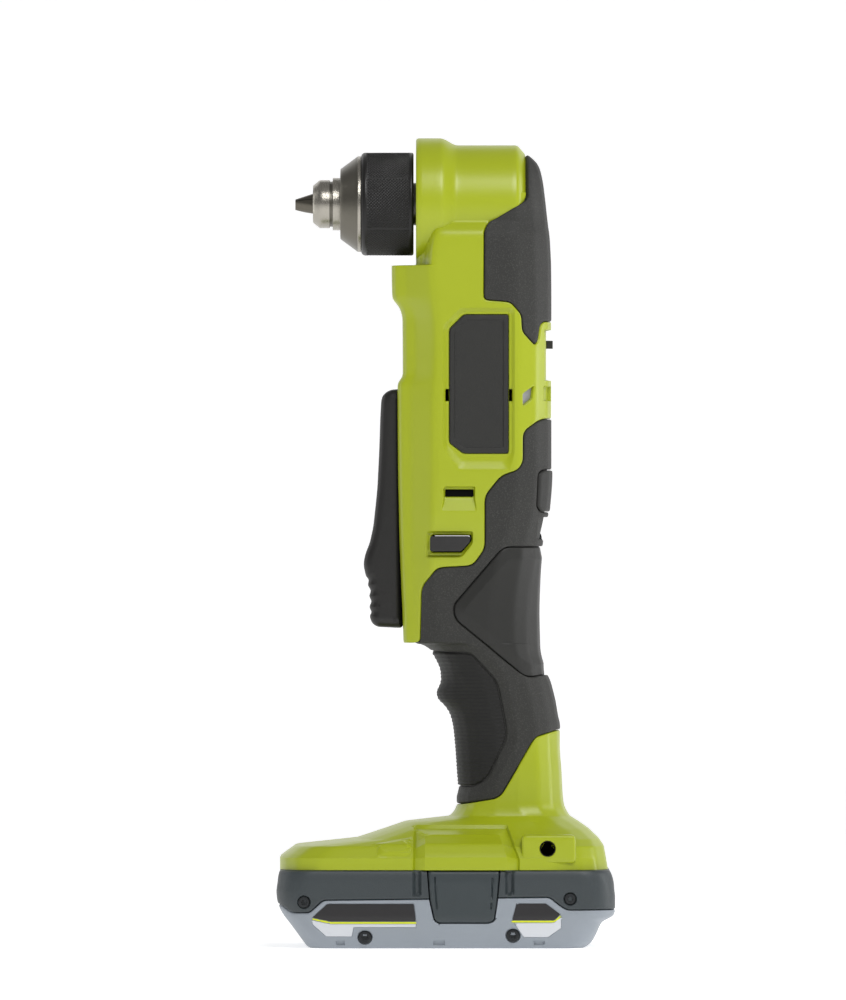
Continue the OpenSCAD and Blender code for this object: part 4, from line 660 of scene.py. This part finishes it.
# Left half of the head: an outline of x and radius, with an inner wall, turned half round the spindle axis.
head = {"z": 252.1, "front": -10.1, "wall": 2.4, "around": 150, "bore": 12.6, "boss": 22.4, "barrel": 20.0}
slope = np.linspace(0, 1, 14)
outline = [(head["front"], head["bore"]), (head["front"], 21.5), (-10.02, 21.9), (-9.75, 22.2),
           (-9.3, head["boss"])]
outline += [(-1.9 + 6.1 * t, head["boss"] - 2.4 * (3 * t * t - 2 * t**3)) for t in slope]
outline += [(23.6, head["barrel"]), (24.3, 19.85), (24.9, 19.4), (26.6, 17.4), (27, 16.8), (27.1, 16.2),
            (27.1, 0.4)]
outer = dense(outline, 1.5)
front = head["front"] + head["wall"]
inner = np.stack([np.clip(outer[:, 0], front, 24.7), np.maximum(outer[:, 1] - head["wall"], 0.2)], 1)
inner[0] = (front, head["bore"])
ring = np.concatenate([outer, inner[::-1]])
angle = np.linspace(np.pi, 2 * np.pi, head["around"])
points = np.stack([np.repeat(ring[None, :, 0], len(angle), 0), np.outer(np.sin(angle), ring[:, 1]),
                   head["z"] + np.outer(np.cos(angle), ring[:, 1])], -1)
count, half = len(ring), len(outer)
k = np.arange(half - 1)
cap = np.concatenate([np.stack([k, k + 1, count - 2 - k], 1), np.stack([k, count - 2 - k, count - 1 - k], 1)])
faces = np.concatenate([gridFaces(len(angle), count, True), cap[:, ::-1], cap + (len(angle) - 1) * count])
headHalf = outward(points.reshape(-1, 3), faces)


def ringPoints(outline, count):
    outline = np.asarray(outline, float)
    closed = np.concatenate([outline, outline[:1]])
    s = summed(np.linalg.norm(np.diff(closed, axis=0), axis=1))
    at = np.arange(count) / count * s[-1]
    return np.stack([np.interp(at, s, closed[:, 0]), np.interp(at, s, closed[:, 1])], 1)


# An outline moved inward along its normals.
def setIn(points, depth):
    along = np.roll(points, -1, 0) - np.roll(points, 1, 0)
    normal = unit(np.stack([-along[:, 1], along[:, 0]], 1))
    area = np.sum(points[:, 0] * np.roll(points[:, 1], -1) - np.roll(points[:, 0], -1) * points[:, 1])
    return points + normal * depth * np.sign(area)


# A side outline as a ring of points at one place across the width.
def across(points, y):
    return np.stack([points[:, 0], np.full(len(points), y), points[:, 1]], 1)


# A slab across the width: its side outline set in near the ends by a quarter circle.
def slab(points, low, high, radius, steps=6):
    turn = np.linspace(0, np.pi / 2, steps)
    depth = radius * (1 - np.sin(turn))
    y = radius * (1 - np.cos(turn))
    rings = [(low + a, d) for a, d in zip(y, depth)] + [(high - a, d) for a, d in zip(y[::-1], depth[::-1])]
    return tube([across(setIn(points, d), a) for a, d in rings])


# Accessory boss on the foot: rings from the bottom of its hole, over the rim, out to the rounded box.
boss = {"corners": [(43.9, 38.4), (25.6, 38.4), (25.6, 28.7), (43.9, 28.7)], "count": 96,
        "hole": (34.39, 33.72),
        # radius and place of the rings in the hole, place of the face, its rounding and the rings behind it
        "bore": [(2.55, 30.9), (2.55, 38.4), (2.9, 38.8)], "proud": 38.8, "round": 1.1, "back": (36, 27)}
square = ringPoints(rounded(boss["corners"], 1.8), 400)
bearing = np.arctan2(square[:, 1] - boss["hole"][1], square[:, 0] - boss["hole"][0])
order = np.argsort(bearing)
angle = np.linspace(-np.pi, np.pi, boss["count"], endpoint=False)
square = np.stack([np.interp(angle, bearing[order], square[order, i], period=2 * np.pi) for i in (0, 1)], 1)
circle = np.stack([np.cos(angle), np.sin(angle)], 1)
steps = [(boss["hole"] + r * circle, y) for r, y in boss["bore"]]
for t in np.linspace(0, np.pi / 2, 6):
    inset, back = boss["round"] * (1 - math.sin(t)), boss["round"] * (1 - math.cos(t))
    steps.append((setIn(square, inset), boss["proud"] - back))
steps += [(square, y) for y in boss["back"]]
bossHalf = tube([across(p, -y) for p, y in steps])
for side in ("left", "right"):
    extra = [headHalf, bossHalf] if side == "left" else [mirrored(*headHalf), mirrored(*bossHalf)]
    makePiece(f"housing_{side}", joined([shells[side]] + extra), "green_plastic", "housing", sharp=26)
print("housing made")

# Palm pads, ribbed grip inserts, side and rear badges: trimmed from sheets of the same surface.
pads = {
    # step of the rows, columns, and heights from and to
    "palm": (0.9, 130, 88, 140), "grip": (0.3, 140, 52, 101), "badge": (0.9, 160, 165, 217),
    "rearBadge": (0.7, 180, 146, 163), "screens": (1.0, 128, 125, 200),
    "round": 0.5, "rearRound": 0.8, "thick": 1.3, "proud": (0.3, 0.6), "slope": (1.1, 3.6),
    "ribs": (1.25, 1.6, 0.22), "gripDeep": 0.7, "seat": 0.6, "badgeThick": 1.85, "rim": (1.6, 1.95, 0.3),
    "rear": 0.5,
}


def padPart(name, levels):
    keep = lambda v: away(name)(v) + gap
    part = trim(bodySheet(*pads[name]), keep, [(keep, levels)])
    return part, keep(part[0])


def bothSides(name, part, lift, thick, slot, nodes=None):
    half = plate(part, lift, thick)
    makePiece(name, joined([half, mirrored(*half)]), slot, "housing", nodes)


deep, slope = pads["slope"]
part, edge = padPart("palm", edgeLevels(pads["round"]) + (-slope,))
lift = pads["proud"][0] + pads["proud"][1] * sideways(part[0]) - edgeDrop(edge, pads["round"])
bothSides("palm_pads", part, lift - deep * (1 - np.clip(-edge / slope, 0, 1)), pads["thick"], "smooth_rubber")

part, edge = padPart("grip", edgeLevels(pads["round"]))
x, z = part[0][:, 0], part[0][:, 2]
pitch, spacing, high = pads["ribs"]
ribs = np.abs((z / pitch) % 1 - 0.5) * 2
dots = 0.5 + 0.5 * np.cos(2 * np.pi * (x / spacing + np.round(z / pitch - 0.5) * 0.5))
lift = high * smoothStep(ribs, 0.25, 0.8) * (0.55 + 0.45 * dots) - edgeDrop(edge, pads["round"])
bothSides("grip_inserts", part, lift - pads["gripDeep"], pads["thick"], "ribbed_rubber")

begin, end, fall = pads["rim"]
part, edge = padPart("badge", edgeLevels(pads["round"]) + (-begin, -end))
lift = -pads["seat"] - edgeDrop(edge, pads["round"]) - fall * smoothStep(-edge, begin, end)
bothSides("side_badges", part, lift, pads["badgeThick"], "badge_plastic")

part, edge = padPart("rearBadge", edgeLevels(pads["rearRound"]))
bothSides("rear_badge", part, pads["rear"] - edgeDrop(edge, pads["rearRound"]), pads["thick"], "badge_plastic")

# Screens in the openings, set into the wall: near-black sheets in the slot and round the selector are painted
# shade, the vent shows cast alloy behind it; near-black rings down the foot's threaded hole are painted shade
# too.
selector = {"outline": [(-5.3, 139.2), (8.3, 139.2), (8.3, 137.5), (5.2, 134.1), (-5.3, 134.1)],
            "reach": 23.0, "round": 0.25, "room": (0.8, 0.1)}
bar = rounded(selector["outline"], 0.7)


def barRoom(v):
    outer, inner = selector["room"]
    return np.maximum(away("selector")(v) - outer, inner - outlineDistance(bar, v))


screens = {"thick": 0.5, "slot": 2.0, "vent": 1.4, "selector": 2.25,
           # radius and place of the near-black rings down the threaded hole, painted shade
           "lining": [(2.0, 31.4), (2.25, 31.6), (2.25, 37.9), (2.45, 37.9), (2.45, 31.2), (2.0, 31.2)]}
# The slot and selector screens are near-black: painted shade in the openings.
for name, keep, slot in (("slot", lambda v: away("slot")(v) + 0.05, "vent_black"),
                         ("vent", lambda v: away("vent")(v) + 0.05, "cast_alloy"),
                         ("selector", barRoom, "vent_black")):
    part = trim(bodySheet(*pads["screens"]), keep, [])
    lift = np.full(len(part[0]), -screens[name])
    bothSides(f"{name}_screens", part, lift, screens[name] + screens["thick"], slot, ())
turn = np.linspace(0, 2 * np.pi, 48, endpoint=False)
circle = np.stack([np.cos(turn), np.sin(turn)], 1)
# Near-black rings down the threaded hole, mirrored to both sides: painted shade.
shadeCup = tube([across(boss["hole"] + r * circle, -y) for r, y in screens["lining"]])
makePiece("boss_lining", joined([shadeCup, mirrored(*shadeCup)]), "vent_black", "housing", ())
print("pads and badges made")

# Paddle trigger: side outline with shallow finger waves, rounded across its width.
trigger = {
    "half": 9.4, "round": 3.2, "waves": (111.5, 126.5, 3.7, 0.28), "waveFront": -23,
    "outline": [(-14.4, 189.3), (-18.4, 189), (-20, 188.3), (-21.4, 187), (-21.9, 185.4), (-22.2, 180.1),
                (-22.6, 168), (-23.2, 155.9), (-23.8, 149.8), (-24.6, 142.5), (-25.8, 137), (-27.3, 133.3),
                (-28, 129.7), (-27.3, 126.4), (-26.4, 123), (-25.9, 119.4), (-25.8, 111.8), (-25.1, 109.7),
                (-23.3, 108.4), (-14.4, 108)],
}
points = ringPoints(rounded(trigger["outline"], 1.6), 620)
low, high, pitch, depth = trigger["waves"]
z = points[:, 1]
inWaves = smoothStep(z, low, low + 2) * (1 - smoothStep(z, high - 2, high))
inWaves *= points[:, 0] < trigger["waveFront"]
points[:, 0] += depth * inWaves * (1 - np.cos(2 * np.pi * (z - low) / pitch))
mesh = slab(points, -trigger["half"], trigger["half"], trigger["round"], 10)
makePiece("paddle_trigger", mesh, "trigger_plastic", "trigger")

# Direction selector: a bar through the body with rounded ends.
mesh = slab(ringPoints(bar, 160), -selector["reach"], selector["reach"], selector["round"])
makePiece("direction_selector", mesh, "black_plastic", "selector")
print("controls made")

# Chuck sleeve: a turned ring whose outside carries diamonds, the larger of two crossed ramps, between plain
# bars.
sleeve = {"r": 17.5, "bore": 15.0, "front": -28.7, "back": -10.9, "around": 1100, "diamonds": 104, "lead": 1.06,
          "depth": 0.24, "bars": 6, "barDepth": 0.12, "round": 1.4, "step": 0.27}


def diamonds(x, angle, r):
    share, front, back = angle / (2 * np.pi), sleeve["front"], sleeve["back"]
    u, w = (sleeve["diamonds"] * share + sign * x / sleeve["lead"] for sign in (1, -1))
    ramp = np.maximum(np.abs(2 * (u % 1) - 1), np.abs(2 * (w % 1) - 1))
    zone = smoothStep(x, front + 1.6, front + 2.2) * (1 - smoothStep(x, back - 1.7, back - 1.1))
    plain = smoothStep(np.abs((share * sleeve["bars"]) % 1 - 0.5) * 2, 0.95, 0.96)
    cut = np.maximum(sleeve["depth"] * smoothStep(ramp, 0.3, 0.95) * (1 - plain), sleeve["barDepth"] * plain)
    return np.where(r > sleeve["r"] - 0.05, -cut * zone, 0)


r, bore, front, back, edge = (sleeve[key] for key in ("r", "bore", "front", "back", "round"))
outline = [(front, bore), (front, 15.9)]
for t in np.linspace(np.pi / 2, 0, 7):
    outline.append((front + edge * (1 - math.sin(t)), r - edge * (1 - math.cos(t))))
outline += [tuple(p) for p in dense([(front + edge + 0.01, r), (back - 0.6, r)], sleeve["step"])]
outline += [(back - 0.15, r - 0.2), (back, r - 0.7), (back, bore)]
mesh = turned(outline, sleeve["around"], diamonds)
makePiece("chuck_sleeve", mesh, "sleeve_plastic", "chuck_sleeve", sharp=60)

# Chuck body: bright nose with its rings, bright collar, hollow for the jaws; the cone and the groove take a
# darker copy of the same steel, painted shade.
chuck = {
    "around": 180, "cone": (-35.9, -29.85, 9.2), "groove": (-39.35, -38.35),
    "outline": [(-45.1, 3.7), (-45.1, 6.2), (-44.9, 6.5), (-42.9, 8.1), (-42.6, 8.2), (-39.45, 8.2),
                (-39.3, 8.05), (-39.3, 7.7), (-38.4, 7.7), (-38.4, 8.8), (-38.25, 8.95), (-35.95, 8.95),
                (-35.8, 9.1), (-35.8, 11.8), (-35.6, 12.05), (-29.9, 16.25), (-29.7, 16.35), (-28.9, 16.35),
                (-28.75, 16.2), (-28.75, 14.4), (-12.5, 14.4), (-12.2, 14.1), (-12.2, 6.2), (-30, 6.2),
                (-40, 4.2)],
}
mesh = turned(dense(chuck["outline"], 1.2), chuck["around"])
data = makePiece("chuck_body", mesh, "chuck_steel", "spindle", sharp=25).data
data.materials.append(finishes["cone_steel"])
middle = np.empty(len(data.polygons) * 3)
data.polygons.foreach_get("center", middle)
x, y, z = middle.reshape(-1, 3).T / mm
(front, back, least), groove = chuck["cone"], chuck["groove"]
# Faces on the cone and in the groove take the darker steel: painted shade.
dark = (x > front) & (x < back) & (np.hypot(y, z - head["z"]) > least) | (x > groove[0]) & (x < groove[1])
data.polygons.foreach_set("material_index", dark.astype(np.int32))
print("chuck made")

# Battery pack: rounded plan that follows the side outline up its height, with flat top and bottom.
pack = {
    "half": 57.3, "wide": 40.0, "corner": 11.0, "around": 420, "capRows": 15, "side": 33, "thick": 1.6,
    "round": 0.6,
    # height, front, back and half width
    "stations": [(0, -45.9, 46.6, 36.2), (0.5, -46.8, 47.6, 36.8), (2.1, -48.1, 49.4, 37.7), (5, -50.2, 51, 39),
                 (8.5, -52.8, 52.7, 39.7), (11.4, -55, 56.9, 40), (13.2, -56, 57.3, 40),
                 (14.9, -56.7, 57.3, 40), (17.6, -57.2, 57.3, 40), (19.2, -57.3, 57.1, 40),
                 (21.7, -57, 56.9, 40), (25.6, -56.4, 55.8, 39.6), (26.2, -56, 55.3, 39.2),
                 (26.4, -55.4, 54.7, 38.6)],
    "lower": [(-80, -10), (80, -10), (80, 13.2), (40.9, 13), (38.6, 14.4), (35, 17.3), (18.4, 17.1),
              (-6.4, 16.7), (-41.4, 16.3), (-46.1, 12), (-52.3, 12), (-56.6, 14.9), (-80, 14.9)],
    "latch": [(-6.2, 27.5), (18.3, 27.5), (18.2, 26.4), (17.3, 16.2), (16.3, 9.6), (14.8, 8.7), (-2.4, 8.7),
              (-3.8, 9.6), (-5.3, 16.2), (-6.1, 26.4)],
    "grooves": [[(-11.3, 17.6), (-8.2, 17.6), (-8.2, 30), (-11.3, 30)],
                [(19.8, 17.8), (23.2, 17.8), (23.2, 30), (19.8, 30)]],
    # ends along x, then middle and half of the height
    "notches": [(-37.2, -34), (-4.3, -0.2), (29.7, 33.4)], "notchZ": (1.8, 0.9),
    # side place and radius of the screws, and the surface at their heads
    "screws": [(-47.9, 15.7, 2, 40), (42, 16.8, 2, 40), (-27.3, 3.9, 2.3, 38.875), (22.7, 4.5, 2.3, 39.025)],
    "labels": {
        "dark": [[(-45.1, 10.5), (-40, 15.1), (-10.8, 15.1), (-10.1, 9.2), (-39, 9.2)],
                 [(23.9, 15.2), (33.8, 15.2), (38.6, 11.6), (36.7, 9.6), (22.4, 9.6)]],
        "lime": [[(-45.1, 10.3), (-39, 9), (-10.1, 9), (-10.1, 8.45), (-39, 8.45), (-45.1, 9.75)],
                 [(22.3, 9.4), (36.7, 9.4), (38.9, 11.5), (38.9, 10.8), (36.6, 8.85), (22.2, 8.85)]],
        "silver": [[(-45, 9.5), (-39, 8.25), (-10.1, 8.25), (-10.1, 7.3), (-31.2, 7.3), (-31.8, 4.1),
                    (-40.3, 4.1), (-45, 8.3)],
                   [(23.2, 8.6), (36.5, 8.65), (38.9, 10.6), (38.9, 7), (34.5, 3.9), (26.3, 3.9)]],
    },
    # lines of the two thin grooves in each latch, x at heights
    "thumb": [[(13.1, -2.9), (18, -3.4), (24.4, -3.7)], [(13.1, 15.2), (18, 15.6), (24.4, 15.8)]],
}


# One plan ring with straight sides and round corners, scaled to the size at each height; the rings at the
# bottom and top close in towards the middle.
def packSheet(rowStep):
    table = np.array(pack["stations"], float)
    s = summed(np.maximum(np.abs(np.diff(table, axis=0)).max(1), 0.05))
    rows = curveThrough(s, table, np.append(np.arange(0, s[-1], rowStep), s[-1]))
    caps, around, half, wide, r = (pack[key] for key in ("capRows", "around", "half", "wide", "corner"))
    shrink = np.linspace(0.02, 1, caps + 1)[:-1]
    scale = np.concatenate([shrink, np.ones(len(rows)), shrink[::-1]])
    rows = np.concatenate([rows[:1]] * caps + [rows] + [rows[-1:]] * caps)
    plan = []
    for sx, sy in ((1, 1), (-1, 1), (-1, -1), (1, -1)):
        turn = np.linspace(0, np.pi / 2, 22)[::sx * sy]
        plan.append(np.stack([sx * (half - r + r * np.cos(turn)), sy * (wide - r + r * np.sin(turn))], 1))
    plan = ringPoints(np.concatenate(plan), around)
    mid, reach = (rows[:, 1] + rows[:, 2]) / 2, (rows[:, 2] - rows[:, 1]) / 2
    x = mid[:, None] + (reach * scale)[:, None] * plan[:, 0] / half
    y = (rows[:, 3] * scale)[:, None] * plan[:, 1] / wide
    points = np.stack([x, y, np.repeat(rows[:, :1], around, 1)], -1)
    along = np.roll(points, -1, 1) - np.roll(points, 1, 1)
    normals = unit(np.cross(along, np.gradient(points, axis=0)))
    normals[:12], normals[-12:] = (0, 0, -1), (0, 0, 1)
    verts = np.concatenate([points, normals], -1).reshape(-1, 6)
    return verts, gridFaces(len(rows), around, True)


lowerLine, latchLine = rounded(pack["lower"], 1.2), rounded(pack["latch"], 1.0)


# The least of some distances on the sides of the pack, less a margin, and far away elsewhere.
def onSide(v, distances, margin=0):
    return np.where(np.abs(v[:, 1]) > pack["side"], np.min(distances, axis=0) - margin, 5.0)


def onLines(v, lines, margin=0):
    return onSide(v, [outlineDistance(np.array(line, float), v) for line in lines], margin)


def screwSeats(v):
    return onSide(v, [np.hypot(v[:, 0] - x, v[:, 2] - z) - r for x, z, r, _ in pack["screws"]], 0.35)


def notches(v):
    middle, half = pack["notchZ"]
    d = [np.abs(v[:, 0] - (a + b) / 2) - (b - a) / 2 for a, b in pack["notches"]]
    return onSide(v, [np.maximum(along, np.abs(v[:, 2] - middle) - half) for along in d])


latchHole = lambda v: onLines(v, [latchLine], 0.35)
# field, depth and width of the edge of each sunk place, and the levels to cut along
sunk = [(latchHole, 5.6, 0.12, (0, -0.12)), (lambda v: onLines(v, pack["grooves"]), 1.3, 1.1, (0, -0.55, -1.1)),
        (screwSeats, 1.1, 0.25, (0, -0.25)),
        (lambda v: onLines(v, sum(pack["labels"].values(), []), 0.25), 0.22, 0.2, (0, -0.2)),
        (notches, 0.8, 0.3, (0, -0.3))]


def packLift(v, keep):
    cut = sum(depth * smoothStep(-field(v), 0, edge) for field, depth, edge, _ in sunk)
    return -edgeDrop(keep(v), pack["round"]) - cut * sideways(v)


# The latch places sink straight across, so that the latches can press in.
sheet = packSheet(0.7)
for name, slot, sign in (("battery_lower_case", "grey_case", 1), ("battery_upper_case", "dark_case", -1)):
    keep = lambda v: sign * outlineDistance(lowerLine, v) + gap
    lines = [(keep, edgeLevels(pack["round"]))] + [(field, levels) for field, _, _, levels in sunk]
    part = trim(sheet, keep, lines)
    hole = latchHole(part[0]) < -0.01
    part[0][hole, 3:6] = np.sign(part[0][hole, 1:2]) * (0, 1, 0)
    makePiece(name, plate(part, packLift(part[0], keep), pack["thick"]), slot, "battery")
print("battery cases made")

# Printed fields without lettering, set in shallow places on both sides.
for name, lines in pack["labels"].items():
    part = trim(sheet, lambda v: onLines(v, lines), [])
    mesh = plate(part, np.full(len(part[0]), -0.04), 0.2)
    makePiece(f"pack_label_{name}", mesh, f"label_{name}", "battery", ())

# Latches: plates of the same surface, straight across, with two thin curved grooves.
latch = {"proud": 0.35, "round": 0.8, "thick": 2.8, "line": 0.35, "lineDepth": 0.45, "lineEdge": 0.3}
latchTop = rounded([p for p in pack["latch"] if p[1] < 27], 0.8)


def thumb(v):
    d = []
    for line in pack["thumb"]:
        z, x = np.array(line).T
        ends = np.maximum(z[0] - v[:, 2], v[:, 2] - z[-1])
        d.append(np.maximum(np.abs(v[:, 0] - np.interp(v[:, 2], z, x)) - latch["line"], ends))
    return np.min(d, axis=0)


keep = lambda v: np.maximum(outlineDistance(latchTop, v) + 0.02, pack["side"] + v[:, 1])
part = trim(packSheet(0.5), keep, [(keep, edgeLevels(latch["round"])), (thumb, (0, -0.17))])
part[0][:, 3:6] = (0, -1, 0)
lift = latch["proud"] - edgeDrop(keep(part[0]), latch["round"])
lift -= latch["lineDepth"] * smoothStep(-thumb(part[0]), 0, latch["lineEdge"])
half = plate(part, lift, latch["thick"])
for side, mesh in (("left", half), ("right", mirrored(*half))):
    makePiece(f"battery_latch_{side}", mesh, "latch_plastic", f"latch_{side}")

# Latch springs: round wire on a cone that narrows towards the latch.
coil = {"place": (6.05, 17.5), "y": (34.35, 36.5), "r": (2.2, 0.9), "wire": 0.17, "turns": 3, "rings": 110,
        "anchor": 34.15, "keep": 0.13}
t = np.linspace(0, 1, coil["rings"])[:, None]
turn, wire = 2 * np.pi * coil["turns"] * t, np.linspace(0, 2 * np.pi, 9)[None, :-1]
radius = coil["r"][0] + (coil["r"][1] - coil["r"][0]) * t + coil["wire"] * np.cos(wire)
depth = coil["y"][0] + (coil["y"][1] - coil["y"][0]) * t + coil["wire"] * np.sin(wire)
x, z = coil["place"]
half = tube(np.stack([x + radius * np.cos(turn), -depth, z + radius * np.sin(turn)], -1))
for side, sign, mesh in (("left", -1, half), ("right", 1, mirrored(*half))):
    spring = makePiece(f"latch_spring_{side}", mesh, "spring_steel", "battery", ["latch_springs"])
    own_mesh(spring)


# Screw head: rings from the bottom of a six-lobed drive out over the rounded rim.
def screwHead(radius, drop, count=48):
    angle = np.arange(count) / count * 2 * np.pi
    share = np.array([0.02, 0.2, 0.4, 0.44, 0.5, 0.7, 0.86, 0.94, 0.99, 1.0])
    lobes = 0.42 * (1 + 0.16 * np.cos(6 * angle))
    r = share[:, None] * radius * np.ones(count)
    r[2], r[3] = lobes * radius * 0.93, lobes * radius
    height = np.array([-drop, -drop, -drop, -0.08, 0, 0, -0.04, -0.12, -0.25, -1.0])
    rings = np.stack([r * np.cos(angle), np.repeat(height[:, None], count, 1), r * np.sin(angle)], -1)
    return tube(rings)


heads = []
for x, z, r, y in pack["screws"]:
    points, faces = screwHead(r, 0.7)
    for sign in (-1, 1):
        heads.append(outward(points * (1, sign, 1) + (x, sign * (y - 0.55), z), faces))
makePiece("battery_screws", joined(heads), "black_steel", "battery")
heads = []
for x, z, y in body["screws"]:
    points, faces = screwHead(2.75, 0.9)
    heads.append(outward(points + (x, y, z), faces))
makePiece("housing_screws", joined(heads), "black_steel", "housing")
print("battery made")

# Pale floor that curves up into a backdrop, soft studio light and a long lens at the picture's angle.
stagePlan = {"floor": 9.0, "bend": (6.8, 2.0), "glow": 0.58, "world": 0.33, "lens": 600.0, "sensor": 36,
             "height": 0.340, "centre": (-0.0077, 0.1515)}
f, (start, r) = stagePlan["floor"], stagePlan["bend"]
turn = np.linspace(0, np.pi / 2, 24)
line = [(-f, 0)] + [(start + r * math.sin(t), r * (1 - math.cos(t))) for t in turn] + [(start + r, f)]
data = bpy.data.meshes.new("floor")
data.from_pydata([(x, y, z) for y, z in line for x in (-f, f)], [],
                 [(2 * i, 2 * i + 1, 2 * i + 3, 2 * i + 2) for i in range(len(line) - 1)])
data.shade_smooth()
pale = finish("floor", (240, 240, 240), 0.9, drift=0.004, grain=(300, 0.01), shine=0.1)
shader = pale.node_tree.nodes["Principled BSDF"]
shader.inputs["Emission Color"].default_value = (1, 1, 1, 1)
shader.inputs["Emission Strength"].default_value = stagePlan["glow"]
data.materials.append(pale)
linked("floor", data)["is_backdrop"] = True

world = bpy.data.worlds.new("studio")
world.use_nodes = True
background = world.node_tree.nodes["Background"]
background.inputs["Color"].default_value = (1, 1, 1, 1)
background.inputs["Strength"].default_value = stagePlan["world"]
scene.world = world


def areaLight(name, place, aim, size, power):
    lamp = bpy.data.lights.new(name, "AREA")
    lamp.shape = "RECTANGLE"
    lamp.size, lamp.size_y = size
    lamp.energy = power
    made = linked(name, lamp)
    made.location = place
    direction = np.array(aim, float) - np.array(place, float)
    made.rotation_euler = Vector(direction).to_track_quat("-Z", "Y").to_euler()


areaLight("key", (0.3, -0.8, 0.95), (0, 0, 0.14), (0.5, 0.5), 8.5)
areaLight("left", (-0.8, 0.2, 0.3), (0, 0, 0.15), (0.2, 0.7), 0.9)
areaLight("right", (0.8, 0.1, 0.3), (0, 0, 0.15), (0.25, 0.7), 2.4)

camera = bpy.data.cameras.new("camera")
camera.lens, camera.sensor_width = stagePlan["lens"], stagePlan["sensor"]
view = linked("camera", camera)
x, z = stagePlan["centre"]
view.location = (x, -stagePlan["height"] * stagePlan["lens"] / stagePlan["sensor"], z)
view.rotation_euler = (math.pi / 2, 0, 0)
scene.camera = view
scene.view_settings.view_transform = "Standard"

low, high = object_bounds()
print("scene made")
